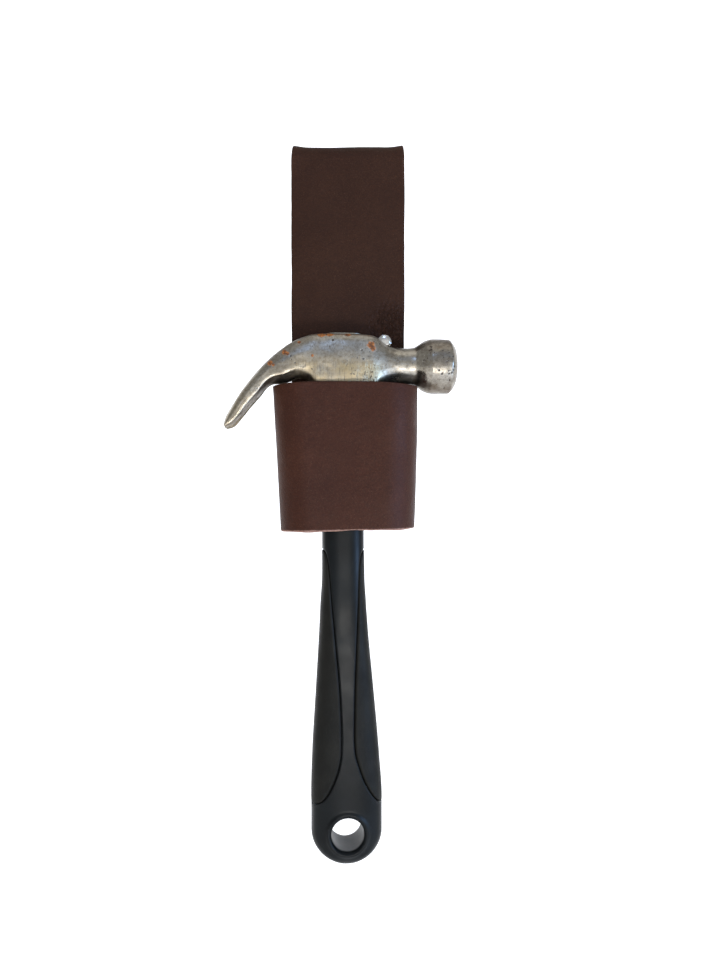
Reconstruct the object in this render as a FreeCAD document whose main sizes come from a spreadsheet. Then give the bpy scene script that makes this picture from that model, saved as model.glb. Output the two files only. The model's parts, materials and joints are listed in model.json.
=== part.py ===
"""A leather belt holster with the claw hammer that hangs in it, in millimetres.

The holster is one strap folded over into a belt loop, and one sleeve wrapped round the hammer
and riveted to the strap. The hammer is a forged head on a fibreglass core, which is moulded into
a hard jacket with two soft grip panels.

Frame: +Z up, +X to the right seen from the front, +Y towards the wearer. The origin is the
middle of the gap that the belt runs through.
"""

import FreeCAD, Part
import os
import Sketcher

# Every driving size, by the piece it belongs to. Lengths are in millimetres, angles in degrees,
# and a bulge is how far an arc stands off its chord, as a share of half the chord.
DRIVING_SIZES = [
    # Leather strap and its belt loop
    ("leather_thickness", 3.0),
    ("strap_width", 65.0),
    ("loop_gap", 8.0),
    ("loop_height_above", 56.0),
    ("loop_height_below", 30.0),
    ("pinch_length", 18.0),
    ("pinch_to_rivet", 11.0),
    ("rivet_to_strap_end", 10.0),
    ("strap_end_margin", 5.0),
    # Leather sleeve
    ("sleeve_height", 81.0),
    ("sleeve_taper", 6.0),
    ("sleeve_seam_gap", 5.0),
    ("grip_to_rivet", 0.46),
    ("cheek_to_wall", 0.85),
    # Rivets, all of one size
    ("rivet_cap_diameter", 8.0),
    ("rivet_cap_height", 1.3),
    ("rivet_cap_edge", 0.4),
    ("rivet_post_diameter", 3.0),
    ("rivet_socket_depth", 0.6),
    ("rivet_hole_clearance", 0.1),
    ("loop_rivet_edge", 11.3),
    ("seam_rivet_edge", 10.5),
    ("sleeve_rivet_edge", 13.0),
    # Where the hammer hangs
    ("hammer_offset", -2.5),
    ("hammer_turn", 5.0),
    ("rim_to_rivet", 27.0),
    ("rest_clearance", 0.4),
    # Hammer head
    ("head_width", 25.0),
    ("head_top", 15.8),
    ("eye_drop", 16.5),
    ("cheek_front", 19.0),
    ("cheek_back", 16.0),
    ("cheek_round", 3.0),
    ("top_flat_back", 10.0),
    ("neck_diameter", 20.6),
    ("neck_blend", 6.0),
    ("neck_bulge", 0.2),
    ("neck_inset", 0.4),
    ("neck_seat", 40.7),
    ("poll_diameter", 30.4),
    ("poll_flare", 7.3),
    ("flare_bulge", 0.3),
    ("poll_barrel", 11.4),
    ("poll_chamfer", 2.6),
    ("face_crown", 2.0),
    ("claw_seat", 39.3),
    ("claw_reach", 65.0),
    ("claw_tip_drop", 32.0),
    ("claw_tip_thickness", 3.4),
    ("claw_tip_slant", 1.0),
    ("claw_tip_width", 22.0),
    ("claw_back_bulge", 0.25),
    ("throat_bulge", 0.42),
    ("slot_mouth", 12.0),
    ("slot_root_width", 2.0),
    ("slot_root", 25.0),
    ("bond_along", 4.5),
    ("bond_across", 2.0),
    ("bond_recess", 1.0),
    # Handle
    ("core_width", 15.0),
    ("core_thickness", 11.0),
    ("core_to_hang_hole", 20.8),
    ("collar_width", 26.0),
    ("collar_height", 14.0),
    ("shank_width", 23.6),
    ("shank_thickness", 20.0),
    ("shank_end", 112.0),
    ("swell_to_butt", 42.9),
    ("swell_width", 37.4),
    ("swell_offset", 1.4),
    ("grip_width", 39.6),
    ("grip_thickness", 24.0),
    ("grip_offset", 2.0),
    ("grip_blend", 8.0),
    ("handle_edge_round", 7.0),
    ("handle_reach", 277.7),
    ("hang_hole_diameter", 18.2),
    # Soft panels let into the sides of the grip
    ("panel_top", 102.0),
    ("panel_shoulder", 8.0),
    ("panel_to_hang_hole", 6.3),
    ("waist_to_foot", 30.5),
    ("spine_offset", 1.8),
    ("spine_top_width", 18.4),
    ("spine_waist_width", 6.8),
    ("foot_margin", 1.5),
    ("shoulder_bulge", 0.3),
    ("side_bulge", 0.02),
    ("foot_bulge", 0.25),
    ("backing_wall", 2.0),
]

# Places that several pieces share, as expressions of the driving sizes.
STRAP_FRONT = "(-Sizes.loop_gap / 2 - Sizes.leather_thickness)"
STRAP_LINER = "(-Sizes.loop_gap / 2)"
SLEEVE_BACK = STRAP_FRONT
SLEEVE_LINER = f"({SLEEVE_BACK} - Sizes.leather_thickness)"
TURN_SINE, TURN_COSINE = "sin(Sizes.hammer_turn)", "cos(Sizes.hammer_turn)"
GRIP_REACH = "(Sizes.grip_width + 2 * Sizes.grip_offset - 2 * Sizes.handle_edge_round)"
TURNED_GRIP = f"(Sizes.grip_thickness * {TURN_COSINE} + {GRIP_REACH} * {TURN_SINE})"
TURNED_CHEEKS = f"(Sizes.head_width * {TURN_COSINE} + 2 * Sizes.cheek_front * {TURN_SINE})"
ROOM_FOR_GRIP = f"({TURNED_GRIP} + 2 * (Sizes.rivet_cap_height + Sizes.grip_to_rivet))"
ROOM_FOR_CHEEKS = f"({TURNED_CHEEKS} + 2 * Sizes.cheek_to_wall)"
SLEEVE_ROOM = f"max({ROOM_FOR_GRIP}; {ROOM_FOR_CHEEKS})"
SLEEVE_DEPTH = f"({SLEEVE_ROOM} + 2 * Sizes.leather_thickness)"
SLEEVE_FRONT = f"({SLEEVE_BACK} - {SLEEVE_DEPTH})"
PINCH_TOP = "(-Sizes.loop_height_below)"
LOOP_RIVET_Z = f"({PINCH_TOP} - Sizes.pinch_length - Sizes.pinch_to_rivet)"
LOOP_RIVET_X = "(Sizes.strap_width / 2 - Sizes.loop_rivet_edge)"
RIM_Z = f"({LOOP_RIVET_Z} - Sizes.rim_to_rivet)"
SLEEVE_BOTTOM = f"({RIM_Z} - Sizes.sleeve_height)"
SLEEVE_RIVET_X = "(Sizes.sleeve_seam_gap / 2 + Sizes.seam_rivet_edge)"
HAMMER_X = "Sizes.hammer_offset"
HAMMER_Y = f"({SLEEVE_BACK} - {SLEEVE_DEPTH} / 2)"
HAMMER_Z = f"({RIM_Z} + Sizes.neck_diameter / 2 + Sizes.rest_clearance)"
RIM_LEFT = f"({HAMMER_X} - Sizes.claw_seat)"
RIM_RIGHT = f"({HAMMER_X} + Sizes.neck_seat)"
BOTTOM_HALF_WIDTH = f"(({RIM_RIGHT} - {RIM_LEFT} - Sizes.sleeve_taper) / 2)"
RIVET_GRIP = "(2 * Sizes.leather_thickness)"
EYE_LENGTH = "(Sizes.core_width + 2 * Sizes.bond_along)"
EYE_WIDTH = "(Sizes.core_thickness + 2 * Sizes.bond_across)"
BOND_TOP = "(Sizes.head_top - Sizes.bond_recess)"
BUTT_RADIUS = "(Sizes.grip_width / 2)"
BUTT_Z = f"({BUTT_RADIUS} - Sizes.handle_reach)"
HANG_HOLE_TOP = f"({BUTT_Z} + Sizes.hang_hole_diameter / 2)"
CORE_END = f"({HANG_HOLE_TOP} + Sizes.core_to_hang_hole)"
PANEL_FOOT = f"({HANG_HOLE_TOP} + Sizes.panel_to_hang_hole)"
PANEL_WAIST = f"({PANEL_FOOT} + Sizes.waist_to_foot)"

QUARTER_TURN = "(sqrt(2) - 1)"  # the bulge of an arc that turns a right angle
HALF_TURN = "1"  # and of a half circle
BEYOND = 5.0  # how far a cutting outline runs past what it cuts
THROUGH = 200.0  # longer than any piece is deep, for cuts that go right through

doc = FreeCAD.newDocument("HammerHolster")
sizes = doc.addObject("Spreadsheet::Sheet", "Sizes")
subparts = {}


def fill_sheet():
    for row, (alias, number) in enumerate(DRIVING_SIZES, 1):
        sizes.set(f"A{row}", str(number))
        sizes.setAlias(f"A{row}", alias)
    doc.recompute()


def amount(expression):
    """The number that an expression of the driving sizes comes to."""
    return float(sizes.evalExpression(str(expression)))


def keep(piece, label):
    """Names a finished sub-part and puts it on the list of files to write."""
    piece.Label = label
    subparts[label] = piece
    return piece


def hang_in_sleeve(piece):
    """Carries a piece from the hammer's own frame to where the hammer hangs in the sleeve."""
    for axis, place in zip("xyz", (HAMMER_X, HAMMER_Y, HAMMER_Z)):
        piece.setExpression(f"Placement.Base.{axis}", place)
    piece.Placement.Rotation = FreeCAD.Rotation(FreeCAD.Vector(0, 0, 1), 1)
    piece.setExpression("Placement.Rotation.Angle", "Sizes.hammer_turn")


# ---------------------------------------------------------------- sketches and features


def new_sketch(body, name, role, height=None):
    """A sketch on one of the body's own origin planes, raised along its normal if asked."""
    sketch = body.newObject("Sketcher::SketchObject", name)
    plane = [p for p in body.Origin.OriginFeatures if p.Role == role][0]
    sketch.AttachmentSupport = (plane, "")
    sketch.MapMode = "FlatFace"
    if height:
        sketch.setExpression("AttachmentOffset.Base.z", height)
    return sketch


def bind(sketch, constraint, expression):
    """Adds a constraint to the sketch and ties its value to the driving sizes."""
    number = sketch.addConstraint(constraint)
    sketch.setExpression(f"Constraints[{number}]", expression)


def pin_point(sketch, geometry, end, x, y):
    """Holds one point of the sketch at the place that two expressions give."""
    for kind, place in (("DistanceX", x), ("DistanceY", y)):
        held = Sketcher.Constraint(kind, -1, 1, geometry, end, amount(place))
        bind(sketch, held, place)


def outline(sketch, corners, bulges=None):
    """Draws a closed loop through corners, which are pairs of expressions.

    bulges gives the sides that are arcs, by the number of the corner they start at. A positive
    one runs counter-clockwise and stands out to the right of the way the side runs.
    """
    bulges = bulges or {}
    places = [FreeCAD.Vector(amount(x), amount(y), 0) for x, y in corners]
    ends = []
    for number, start in enumerate(places):
        follower = (number + 1) % len(places)
        finish = places[follower]
        if number not in bulges:
            side = sketch.addGeometry(Part.LineSegment(start, finish))
            ends.append((side, 1, 2))
            continue
        bulge = amount(bulges[number])
        chord = finish - start
        off_chord = FreeCAD.Vector(chord.y, -chord.x, 0) * (bulge / 2)
        middle = (start + finish) / 2 + off_chord
        if bulge > 0:
            side = sketch.addGeometry(Part.Arc(start, middle, finish))
            ends.append((side, 1, 2))
        else:
            side = sketch.addGeometry(Part.Arc(finish, middle, start))
            ends.append((side, 2, 1))
        across = f"({corners[follower][0]} - {corners[number][0]})"
        along = f"({corners[follower][1]} - {corners[number][1]})"
        lean = f"(1 - {bulges[number]}^2) / (4 * {bulges[number]})"
        if abs(chord.y) > abs(chord.x):
            place = f"{corners[number][0]} + {across} / 2 - {along} * {lean}"
            kind = "DistanceX"
        else:
            place = f"{corners[number][1]} + {along} / 2 + {across} * {lean}"
            kind = "DistanceY"
        bind(sketch, Sketcher.Constraint(kind, -1, 1, side, 3, amount(place)), place)
    for number, (side, first, last) in enumerate(ends):
        after, start_of_after, _ = ends[(number + 1) % len(ends)]
        sketch.addConstraint(Sketcher.Constraint("Coincident", side, last, after, start_of_after))
        pin_point(sketch, side, first, *corners[number])
    return sketch


def stadium(sketch, x_low, x_high, y_low, y_high):
    """A slot-shaped loop with half-round ends at its low and high x."""
    radius = f"(({y_high} - {y_low}) / 2)"
    corners = [
        (f"({x_low} + {radius})", y_low),
        (f"({x_high} - {radius})", y_low),
        (f"({x_high} - {radius})", y_high),
        (f"({x_low} + {radius})", y_high),
    ]
    return outline(sketch, corners, {1: HALF_TURN, 3: HALF_TURN})


def centred_slot(sketch, length, width):
    half, deep = f"({length} / 2)", f"({width} / 2)"
    return stadium(sketch, f"(-{half})", half, f"(-{deep})", deep)


def rounded_box(sketch, centre, width, thickness):
    """A rectangle about (centre, 0) with the rounded corners that run down the handle."""
    half, deep = f"({width} / 2)", f"({thickness} / 2)"
    curve = "Sizes.handle_edge_round"
    left, right = f"({centre} - {half})", f"({centre} + {half})"
    corners = [
        (f"({left} + {curve})", f"(-{deep})"),
        (f"({right} - {curve})", f"(-{deep})"),
        (right, f"({curve} - {deep})"),
        (right, f"({deep} - {curve})"),
        (f"({right} - {curve})", deep),
        (f"({left} + {curve})", deep),
        (left, f"({deep} - {curve})"),
        (left, f"({curve} - {deep})"),
    ]
    return outline(sketch, corners, {side: QUARTER_TURN for side in (1, 3, 5, 7)})


def circle(sketch, x, y, diameter):
    place = FreeCAD.Vector(amount(x), amount(y), 0)
    normal = FreeCAD.Vector(0, 0, 1)
    ring = sketch.addGeometry(Part.Circle(place, normal, amount(diameter) / 2))
    pin_point(sketch, ring, 3, x, y)
    bind(sketch, Sketcher.Constraint("Diameter", ring, amount(diameter)), diameter)


def symmetric_pad(body, sketch, length):
    feature = body.newObject("PartDesign::Pad", sketch.Name + "Pad")
    feature.Profile = sketch
    feature.SideType = "Symmetric"
    feature.setExpression("Length", length)
    return feature


def upward_pad(body, sketch, length):
    feature = body.newObject("PartDesign::Pad", sketch.Name + "Pad")
    feature.Profile = sketch
    feature.setExpression("Length", length)
    return feature


def pocket(body, sketch, length=None):
    """Cuts the sketch out to both sides of its plane, right through unless a length is given."""
    feature = body.newObject("PartDesign::Pocket", sketch.Name + "Pocket")
    feature.Profile = sketch
    feature.SideType = "Symmetric"
    feature.Length = THROUGH
    if length:
        feature.setExpression("Length", length)
    return feature


def revolve(body, sketch, axis):
    feature = body.newObject("PartDesign::Revolution", sketch.Name + "Turn")
    feature.Profile = sketch
    feature.ReferenceAxis = (sketch, [axis])
    feature.Angle = 360
    return feature


def loft(body, kind, sketches, ruled):
    feature = body.newObject(f"PartDesign::{kind}", sketches[0].Name + "Loft")
    feature.Profile = sketches[0]
    feature.Sections = [(section, [""]) for section in sketches[1:]]
    feature.Ruled = ruled
    return feature


def new_body(name):
    return doc.addObject("PartDesign::Body", name)


def boolean(kind, name, base, tool):
    """Part::Cut takes the tool from the base, and Part::Common keeps what they share."""
    feature = doc.addObject(f"Part::{kind}", name)
    feature.Base = base
    feature.Tool = tool
    return feature


# ---------------------------------------------------------------- the holster


def rivet_places():
    """The name of each rivet, with the expressions for its x and z."""
    upper = f"({RIM_Z} - Sizes.sleeve_rivet_edge)"
    lower = f"({SLEEVE_BOTTOM} + Sizes.sleeve_rivet_edge)"
    places = {}
    for side, sign in (("left", "-"), ("right", "")):
        places[f"loop_rivet_{side}"] = (f"({sign}{LOOP_RIVET_X})", LOOP_RIVET_Z)
        places[f"sleeve_rivet_upper_{side}"] = (f"({sign}{SLEEVE_RIVET_X})", upper)
        places[f"sleeve_rivet_lower_{side}"] = (f"({sign}{SLEEVE_RIVET_X})", lower)
    return places


def punch_rivet_holes(body, wanted):
    """Punches the holes of the rivets whose names start as wanted, near the strap only."""
    sketch = new_sketch(body, body.Name + "Holes", "XZ_Plane")
    hole = "(Sizes.rivet_post_diameter + 2 * Sizes.rivet_hole_clearance)"
    for name, (x, z) in rivet_places().items():
        if name.startswith(wanted):
            circle(sketch, x, z, hole)
    reach = f"(-2 * {SLEEVE_LINER} + 2 * Sizes.leather_thickness)"
    pocket(body, sketch, reach)


def belt_loop_strap():
    """The strap's edge seen from the side, in (y, z), drawn once round and padded across.

    Its front leg runs straight down behind the sleeve. Over the fold, the back leg comes down,
    steps in to meet the front leg and ends below the two rivets that close the loop.
    """
    body = new_body("BeltLoopStrap")
    outer = f"(Sizes.loop_gap / 2 + Sizes.leather_thickness)"
    inner = "(Sizes.loop_gap / 2)"
    fold = f"(Sizes.loop_height_above - {outer})"
    pinched = f"({STRAP_LINER} + Sizes.leather_thickness)"
    pinch_middle = f"({PINCH_TOP} - Sizes.pinch_length / 2)"
    pinch_bottom = f"({PINCH_TOP} - Sizes.pinch_length)"
    tail_end = f"({LOOP_RIVET_Z} - Sizes.rivet_to_strap_end)"
    strap_end = f"({SLEEVE_BOTTOM} + Sizes.strap_end_margin)"
    # The step is two equal arcs, one each way, so each turns through twice the angle that its
    # own chord leans, and an arc's bulge is the tangent of a quarter of its turn.
    bend = "tan(atan(Sizes.loop_gap / Sizes.pinch_length) / 2)"
    corners = [
        (STRAP_FRONT, strap_end),
        (STRAP_LINER, strap_end),
        (STRAP_LINER, fold),
        (inner, fold),
        (inner, PINCH_TOP),
        ("0", pinch_middle),
        (STRAP_LINER, pinch_bottom),
        (STRAP_LINER, tail_end),
        (pinched, tail_end),
        (pinched, pinch_bottom),
        ("Sizes.leather_thickness", pinch_middle),
        (outer, PINCH_TOP),
        (outer, fold),
        (STRAP_FRONT, fold),
    ]
    arcs = {
        2: f"(-{HALF_TURN})",
        4: f"(-{bend})",
        5: bend,
        9: f"(-{bend})",
        10: bend,
        12: HALF_TURN,
    }
    profile = new_sketch(body, "StrapEdge", "YZ_Plane")
    outline(profile, corners, arcs)
    symmetric_pad(body, profile, "Sizes.strap_width")
    punch_rivet_holes(body, ("loop_rivet", "sleeve_rivet"))
    keep(body, "belt_loop_strap")


def hammer_sleeve():
    """A wrap of leather, slot-shaped from above and narrower at its bottom.

    Its ends meet at the back with a gap between them, where the strap covers them both.
    """
    body = new_body("HammerSleeve")
    wall = "Sizes.leather_thickness"
    rings = []
    for name, inset in (("Outside", "0"), ("Cavity", wall)):
        low = new_sketch(body, f"Sleeve{name}Bottom", "XY_Plane", SLEEVE_BOTTOM)
        high = new_sketch(body, f"Sleeve{name}Top", "XY_Plane", RIM_Z)
        front, back = f"({SLEEVE_FRONT} + {inset})", f"({SLEEVE_BACK} - {inset})"
        half = BOTTOM_HALF_WIDTH
        stadium(low, f"({inset} - {half})", f"({half} - {inset})", front, back)
        stadium(high, f"({RIM_LEFT} + {inset})", f"({RIM_RIGHT} - {inset})", front, back)
        rings.append([low, high])
    loft(body, "AdditiveLoft", rings[0], ruled=True)
    loft(body, "SubtractiveLoft", rings[1], ruled=True)
    seam = new_sketch(body, "SleeveSeam", "XY_Plane")
    edge = "(Sizes.sleeve_seam_gap / 2)"
    behind = f"({SLEEVE_BACK} + {wall})"
    ahead = f"({SLEEVE_LINER} - {wall})"
    outline(seam, [(f"(-{edge})", ahead), (edge, ahead), (edge, behind), (f"(-{edge})", behind)])
    pocket(body, seam, f"(2 * {BEYOND} - 2 * {SLEEVE_BOTTOM})")
    punch_rivet_holes(body, "sleeve_rivet")
    keep(body, "hammer_sleeve")


def rivet(name, x, z, front):
    """A cap rivet in two halves, closed through two thicknesses of leather.

    The cap lies on the front face of the leather and the post's own flange on the back face.
    Both are turned about the rivet's axis, which is drawn as the sketch's vertical.
    """
    post = "(Sizes.rivet_post_diameter / 2)"
    rim = "(Sizes.rivet_cap_diameter / 2)"
    edge, height = "Sizes.rivet_cap_edge", "Sizes.rivet_cap_height"
    dome = f"(({height} - {edge}) / {rim})"  # half of an arc whose full chord is the cap
    quarter = f"tan(atan({dome}) / 2)"
    socket = "Sizes.rivet_socket_depth"
    cap_corners = [
        ("0", f"(-{height})"),
        (rim, f"(-{edge})"),
        (rim, "0"),
        (post, "0"),
        (post, f"(-{socket})"),
        ("0", f"(-{socket})"),
    ]
    post_corners = [
        ("0", f"(-{socket})"),
        (post, f"(-{socket})"),
        (post, RIVET_GRIP),
        (rim, RIVET_GRIP),
        (rim, f"({RIVET_GRIP} + {edge})"),
        ("0", f"({RIVET_GRIP} + {height})"),
    ]
    halves = {"cap": (cap_corners, {0: quarter}), "post": (post_corners, {4: quarter})}
    for half, (corners, arcs) in halves.items():
        body = new_body("".join(word.title() for word in f"{name}_{half}".split("_")))
        profile = new_sketch(body, body.Name + "Profile", "XY_Plane")
        outline(profile, corners, arcs)
        revolve(body, profile, "V_Axis")
        for axis, place in zip("xyz", (x, front, z)):
            body.setExpression(f"Placement.Base.{axis}", place)
        keep(body, f"{name}_{half}")


def rivets():
    for name, (x, z) in rivet_places().items():
        front = SLEEVE_LINER if name.startswith("sleeve") else STRAP_FRONT
        rivet(name, x, z, front)


# ---------------------------------------------------------------- the hammer
# The hammer has a frame of its own: z up the handle, x towards the striking face, and its origin
# where the handle's line crosses the poll's axis.


def head_side_outline(body):
    """The head's cheeks and claws seen from the side, in (x, z)."""
    neck = "(Sizes.neck_diameter / 2)"
    tip_bottom = "(-Sizes.claw_tip_drop - Sizes.claw_tip_thickness)"
    corners = [
        ("Sizes.cheek_front", "(-Sizes.eye_drop)"),
        ("Sizes.cheek_front", "(Sizes.head_top - Sizes.cheek_round)"),
        ("(Sizes.cheek_front - Sizes.cheek_round)", "Sizes.head_top"),
        ("(-Sizes.top_flat_back)", "Sizes.head_top"),
        ("(-Sizes.claw_reach)", "(-Sizes.claw_tip_drop)"),
        ("(Sizes.claw_tip_slant - Sizes.claw_reach)", tip_bottom),
        ("(-Sizes.claw_seat)", f"(-{neck})"),
        ("(-Sizes.cheek_back)", f"(-{neck})"),
        ("(-Sizes.cheek_back)", "(-Sizes.eye_drop)"),
    ]
    arcs = {
        1: QUARTER_TURN,
        3: "Sizes.claw_back_bulge",
        6: "(-Sizes.throat_bulge)",
    }
    sketch = new_sketch(body, "HeadSide", "XZ_Plane")
    return outline(sketch, corners, arcs)


def poll_profile(body):
    """Half of the neck and poll, in (x, radius), to be turned about the poll's axis."""
    neck = "(Sizes.neck_diameter / 2)"
    root = "(Sizes.head_width / 2 - Sizes.neck_inset)"
    barrel = "(Sizes.poll_diameter / 2)"
    barrel_start = "(Sizes.neck_seat + Sizes.poll_flare)"
    barrel_end = f"({barrel_start} + Sizes.poll_barrel)"
    face = f"({barrel_end} + Sizes.poll_chamfer)"
    face_radius = f"({barrel} - Sizes.poll_chamfer)"
    crown = f"tan(atan(Sizes.face_crown / {face_radius}) / 2)"
    corners = [
        ("0", "0"),
        (f"({face} + Sizes.face_crown)", "0"),
        (face, face_radius),
        (barrel_end, barrel),
        (barrel_start, barrel),
        ("Sizes.neck_seat", neck),
        ("(Sizes.cheek_front + Sizes.neck_blend)", neck),
        ("Sizes.cheek_front", root),
        ("0", root),
    ]
    arcs = {1: crown, 4: "(-Sizes.flare_bulge)", 6: "(-Sizes.neck_bulge)"}
    sketch = new_sketch(body, "PollHalf", "XZ_Plane")
    return outline(sketch, corners, arcs)


def claw_cuts(body):
    """From above, in (x, y): the nail slot between the claws, and the taper of their sides."""
    beyond = f"(-Sizes.claw_reach - {BEYOND})"
    root, half_root = "(-Sizes.slot_root)", "(Sizes.slot_root_width / 2)"
    half_mouth = "(Sizes.slot_mouth / 2)"
    corners = [
        (beyond, f"(-{half_mouth})"),
        (root, f"(-{half_root})"),
        (root, half_root),
        (beyond, half_mouth),
    ]
    slot = new_sketch(body, "NailSlot", "XY_Plane")
    outline(slot, corners, {1: HALF_TURN})
    pocket(body, slot)
    outside = f"(Sizes.head_width / 2 + {BEYOND})"
    for name, sign in (("Left", ""), ("Right", "-")):
        taper = new_sketch(body, f"ClawTaper{name}", "XY_Plane")
        corners = [
            ("(-Sizes.slot_root)", f"({sign}Sizes.head_width / 2)"),
            ("(-Sizes.slot_root)", f"({sign}{outside})"),
            (beyond, f"({sign}{outside})"),
            (beyond, f"({sign}Sizes.claw_tip_width / 2)"),
        ]
        outline(taper, corners)
        pocket(body, taper)


def hammer_head():
    body = new_body("HammerHead")
    symmetric_pad(body, head_side_outline(body), "Sizes.head_width")
    revolve(body, poll_profile(body), "H_Axis")
    claw_cuts(body)
    pocket(body, centred_slot(new_sketch(body, "Eye", "XY_Plane"), EYE_LENGTH, EYE_WIDTH))
    hang_in_sleeve(body)
    keep(body, "hammer_head")


def core_loop(sketch):
    return centred_slot(sketch, "Sizes.core_width", "Sizes.core_thickness")


def handle_core():
    """The fibreglass bar inside the handle, from above the hang hole to the top of the eye."""
    body = new_body("HandleCore")
    sketch = core_loop(new_sketch(body, "CoreSection", "XY_Plane", CORE_END))
    upward_pad(body, sketch, f"({BOND_TOP} - {CORE_END})")
    hang_in_sleeve(body)
    keep(body, "handle_core")


def eye_bond():
    """The ring of epoxy that fills the eye round the core."""
    body = new_body("EyeBond")
    sketch = new_sketch(body, "BondSection", "XY_Plane", "(-Sizes.eye_drop)")
    centred_slot(sketch, EYE_LENGTH, EYE_WIDTH)
    core_loop(sketch)
    upward_pad(body, sketch, f"(Sizes.eye_drop + {BOND_TOP})")
    hang_in_sleeve(body)
    keep(body, "eye_bond")


def handle_blank():
    """The whole outer shape of the handle, lofted down from the head, with a round butt."""
    body = new_body("HandleBlank")
    collar_end = "(-Sizes.eye_drop - Sizes.collar_height)"
    stations = [
        ("(-Sizes.eye_drop)", "0", "collar_width", "shank_thickness"),
        (collar_end, "0", "shank_width", "shank_thickness"),
        ("(-Sizes.shank_end)", "0", "shank_width", "shank_thickness"),
        (f"({BUTT_Z} + Sizes.swell_to_butt)", "Sizes.swell_offset", "swell_width",
         "grip_thickness"),
        (f"({BUTT_Z} + Sizes.grip_blend)", "Sizes.grip_offset", "grip_width", "grip_thickness"),
        ("(-Sizes.handle_reach)", "Sizes.grip_offset", "grip_width", "grip_thickness"),
    ]
    sections = []
    for number, (z, centre, width, thickness) in enumerate(stations):
        sketch = new_sketch(body, f"Station{number}", "XY_Plane", z)
        rounded_box(sketch, centre, f"Sizes.{width}", f"Sizes.{thickness}")
        sections.append(sketch)
    loft(body, "AdditiveLoft", sections, ruled=True)
    butt = new_sketch(body, "ButtRound", "XZ_Plane")
    left, right = f"(Sizes.grip_offset - {BUTT_RADIUS})", f"(Sizes.grip_offset + {BUTT_RADIUS})"
    below = f"(-Sizes.handle_reach - {BEYOND})"
    corners = [
        (left, BUTT_Z),
        (f"({left} - {BEYOND})", BUTT_Z),
        (f"({left} - {BEYOND})", below),
        (f"({right} + {BEYOND})", below),
        (f"({right} + {BEYOND})", BUTT_Z),
        (right, BUTT_Z),
    ]
    outline(butt, corners, {5: f"(-{HALF_TURN})"})
    pocket(body, butt)
    return body


def panel_zone(name, sign):
    """All that lies outside one edge of the hard spine, over the length of the soft panel.

    Seen from the front in (x, z), the edge runs down from a shoulder under the shank, draws in
    to the waist and swings out again over the butt.
    """
    body = new_body(name)
    spine = "Sizes.spine_offset"
    corners = [
        (f"({sign} Sizes.grip_width)", "(-Sizes.panel_top)"),
        (f"({sign} (Sizes.shank_width / 2 + Sizes.foot_margin))", "(-Sizes.panel_top)"),
        (f"({spine} / 2 {sign} Sizes.spine_top_width / 2)",
         "(-Sizes.panel_top - Sizes.panel_shoulder)"),
        (f"({spine} {sign} Sizes.spine_waist_width / 2)", PANEL_WAIST),
        (f"({spine} {sign} (Sizes.grip_width / 2 - Sizes.foot_margin))", PANEL_FOOT),
        (f"({sign} Sizes.grip_width)", PANEL_FOOT),
    ]
    arcs = {
        1: f"({sign} Sizes.shoulder_bulge)",
        2: f"({sign} Sizes.side_bulge)",
        3: f"({sign} Sizes.foot_bulge)",
    }
    sketch = new_sketch(body, name + "Edge", "XZ_Plane")
    outline(sketch, corners, arcs)
    symmetric_pad(body, sketch, "(4 * Sizes.grip_thickness)")
    return body


def panel_backing():
    """The part of the hard jacket that runs on behind the soft panels."""
    backing = doc.addObject("Part::Box", "PanelBacking")
    width = "(Sizes.core_width + 2 * Sizes.backing_wall)"
    thickness = "(Sizes.core_thickness + 2 * Sizes.backing_wall)"
    backing.setExpression("Length", width)
    backing.setExpression("Width", thickness)
    backing.setExpression("Height", f"(-Sizes.panel_top - {PANEL_FOOT} + 2 * {BEYOND})")
    backing.setExpression("Placement.Base.x", f"(-{width} / 2)")
    backing.setExpression("Placement.Base.y", f"(-{thickness} / 2)")
    backing.setExpression("Placement.Base.z", f"({PANEL_FOOT} - {BEYOND})")
    return backing


def handle_jacket_and_panels():
    """Cuts the blank into the hard jacket and the two soft panels that wrap its sides."""
    blank = handle_blank()
    backing = panel_backing()
    jacket = blank
    for side, sign in (("claw", "-"), ("face", "+")):
        zone = panel_zone(f"{side.title()}PanelZone", sign)
        flank = boolean("Common", f"{side.title()}Flank", blank, zone)
        panel = boolean("Cut", f"{side.title()}Panel", flank, backing)
        jacket = boolean("Cut", f"JacketClearOf{side.title()}Panel", jacket, panel)
        hang_in_sleeve(panel_copy(panel, f"grip_panel_{side}_side"))
    bore = new_body("CoreBore")
    sketch = core_loop(new_sketch(bore, "BoreSection", "XY_Plane", CORE_END))
    upward_pad(bore, sketch, f"(-{CORE_END})")
    jacket = boolean("Cut", "JacketWithBore", jacket, bore)
    hole = new_body("HangHole")
    ring = new_sketch(hole, "HangHoleRing", "XZ_Plane")
    circle(ring, "Sizes.grip_offset", BUTT_Z, "Sizes.hang_hole_diameter")
    symmetric_pad(hole, ring, "(4 * Sizes.grip_thickness)")
    jacket = boolean("Cut", "JacketWithHangHole", jacket, hole)
    hang_in_sleeve(jacket)
    keep(jacket, "handle_jacket")


def panel_copy(panel, label):
    """A sub-part that shows a panel in place, so that the jacket can be cut by the original."""
    shown = doc.addObject("Part::Refine", label.title().replace("_", ""))
    shown.Source = panel
    return keep(shown, label)


# ---------------------------------------------------------------- checks and files


def refuse_faults():
    """Stops before anything is written if an object failed or a shape is empty or broken."""
    for item in doc.Objects:
        if "Invalid" in item.State or "Error" in item.State:
            raise SystemExit(f"{item.Name} failed: {item.State} {item.getStatusString()}")
    for label, piece in subparts.items():
        shape = piece.Shape
        if shape.isNull() or not shape.isValid() or not shape.Solids:
            raise SystemExit(f"{label} has no valid solid")


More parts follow.
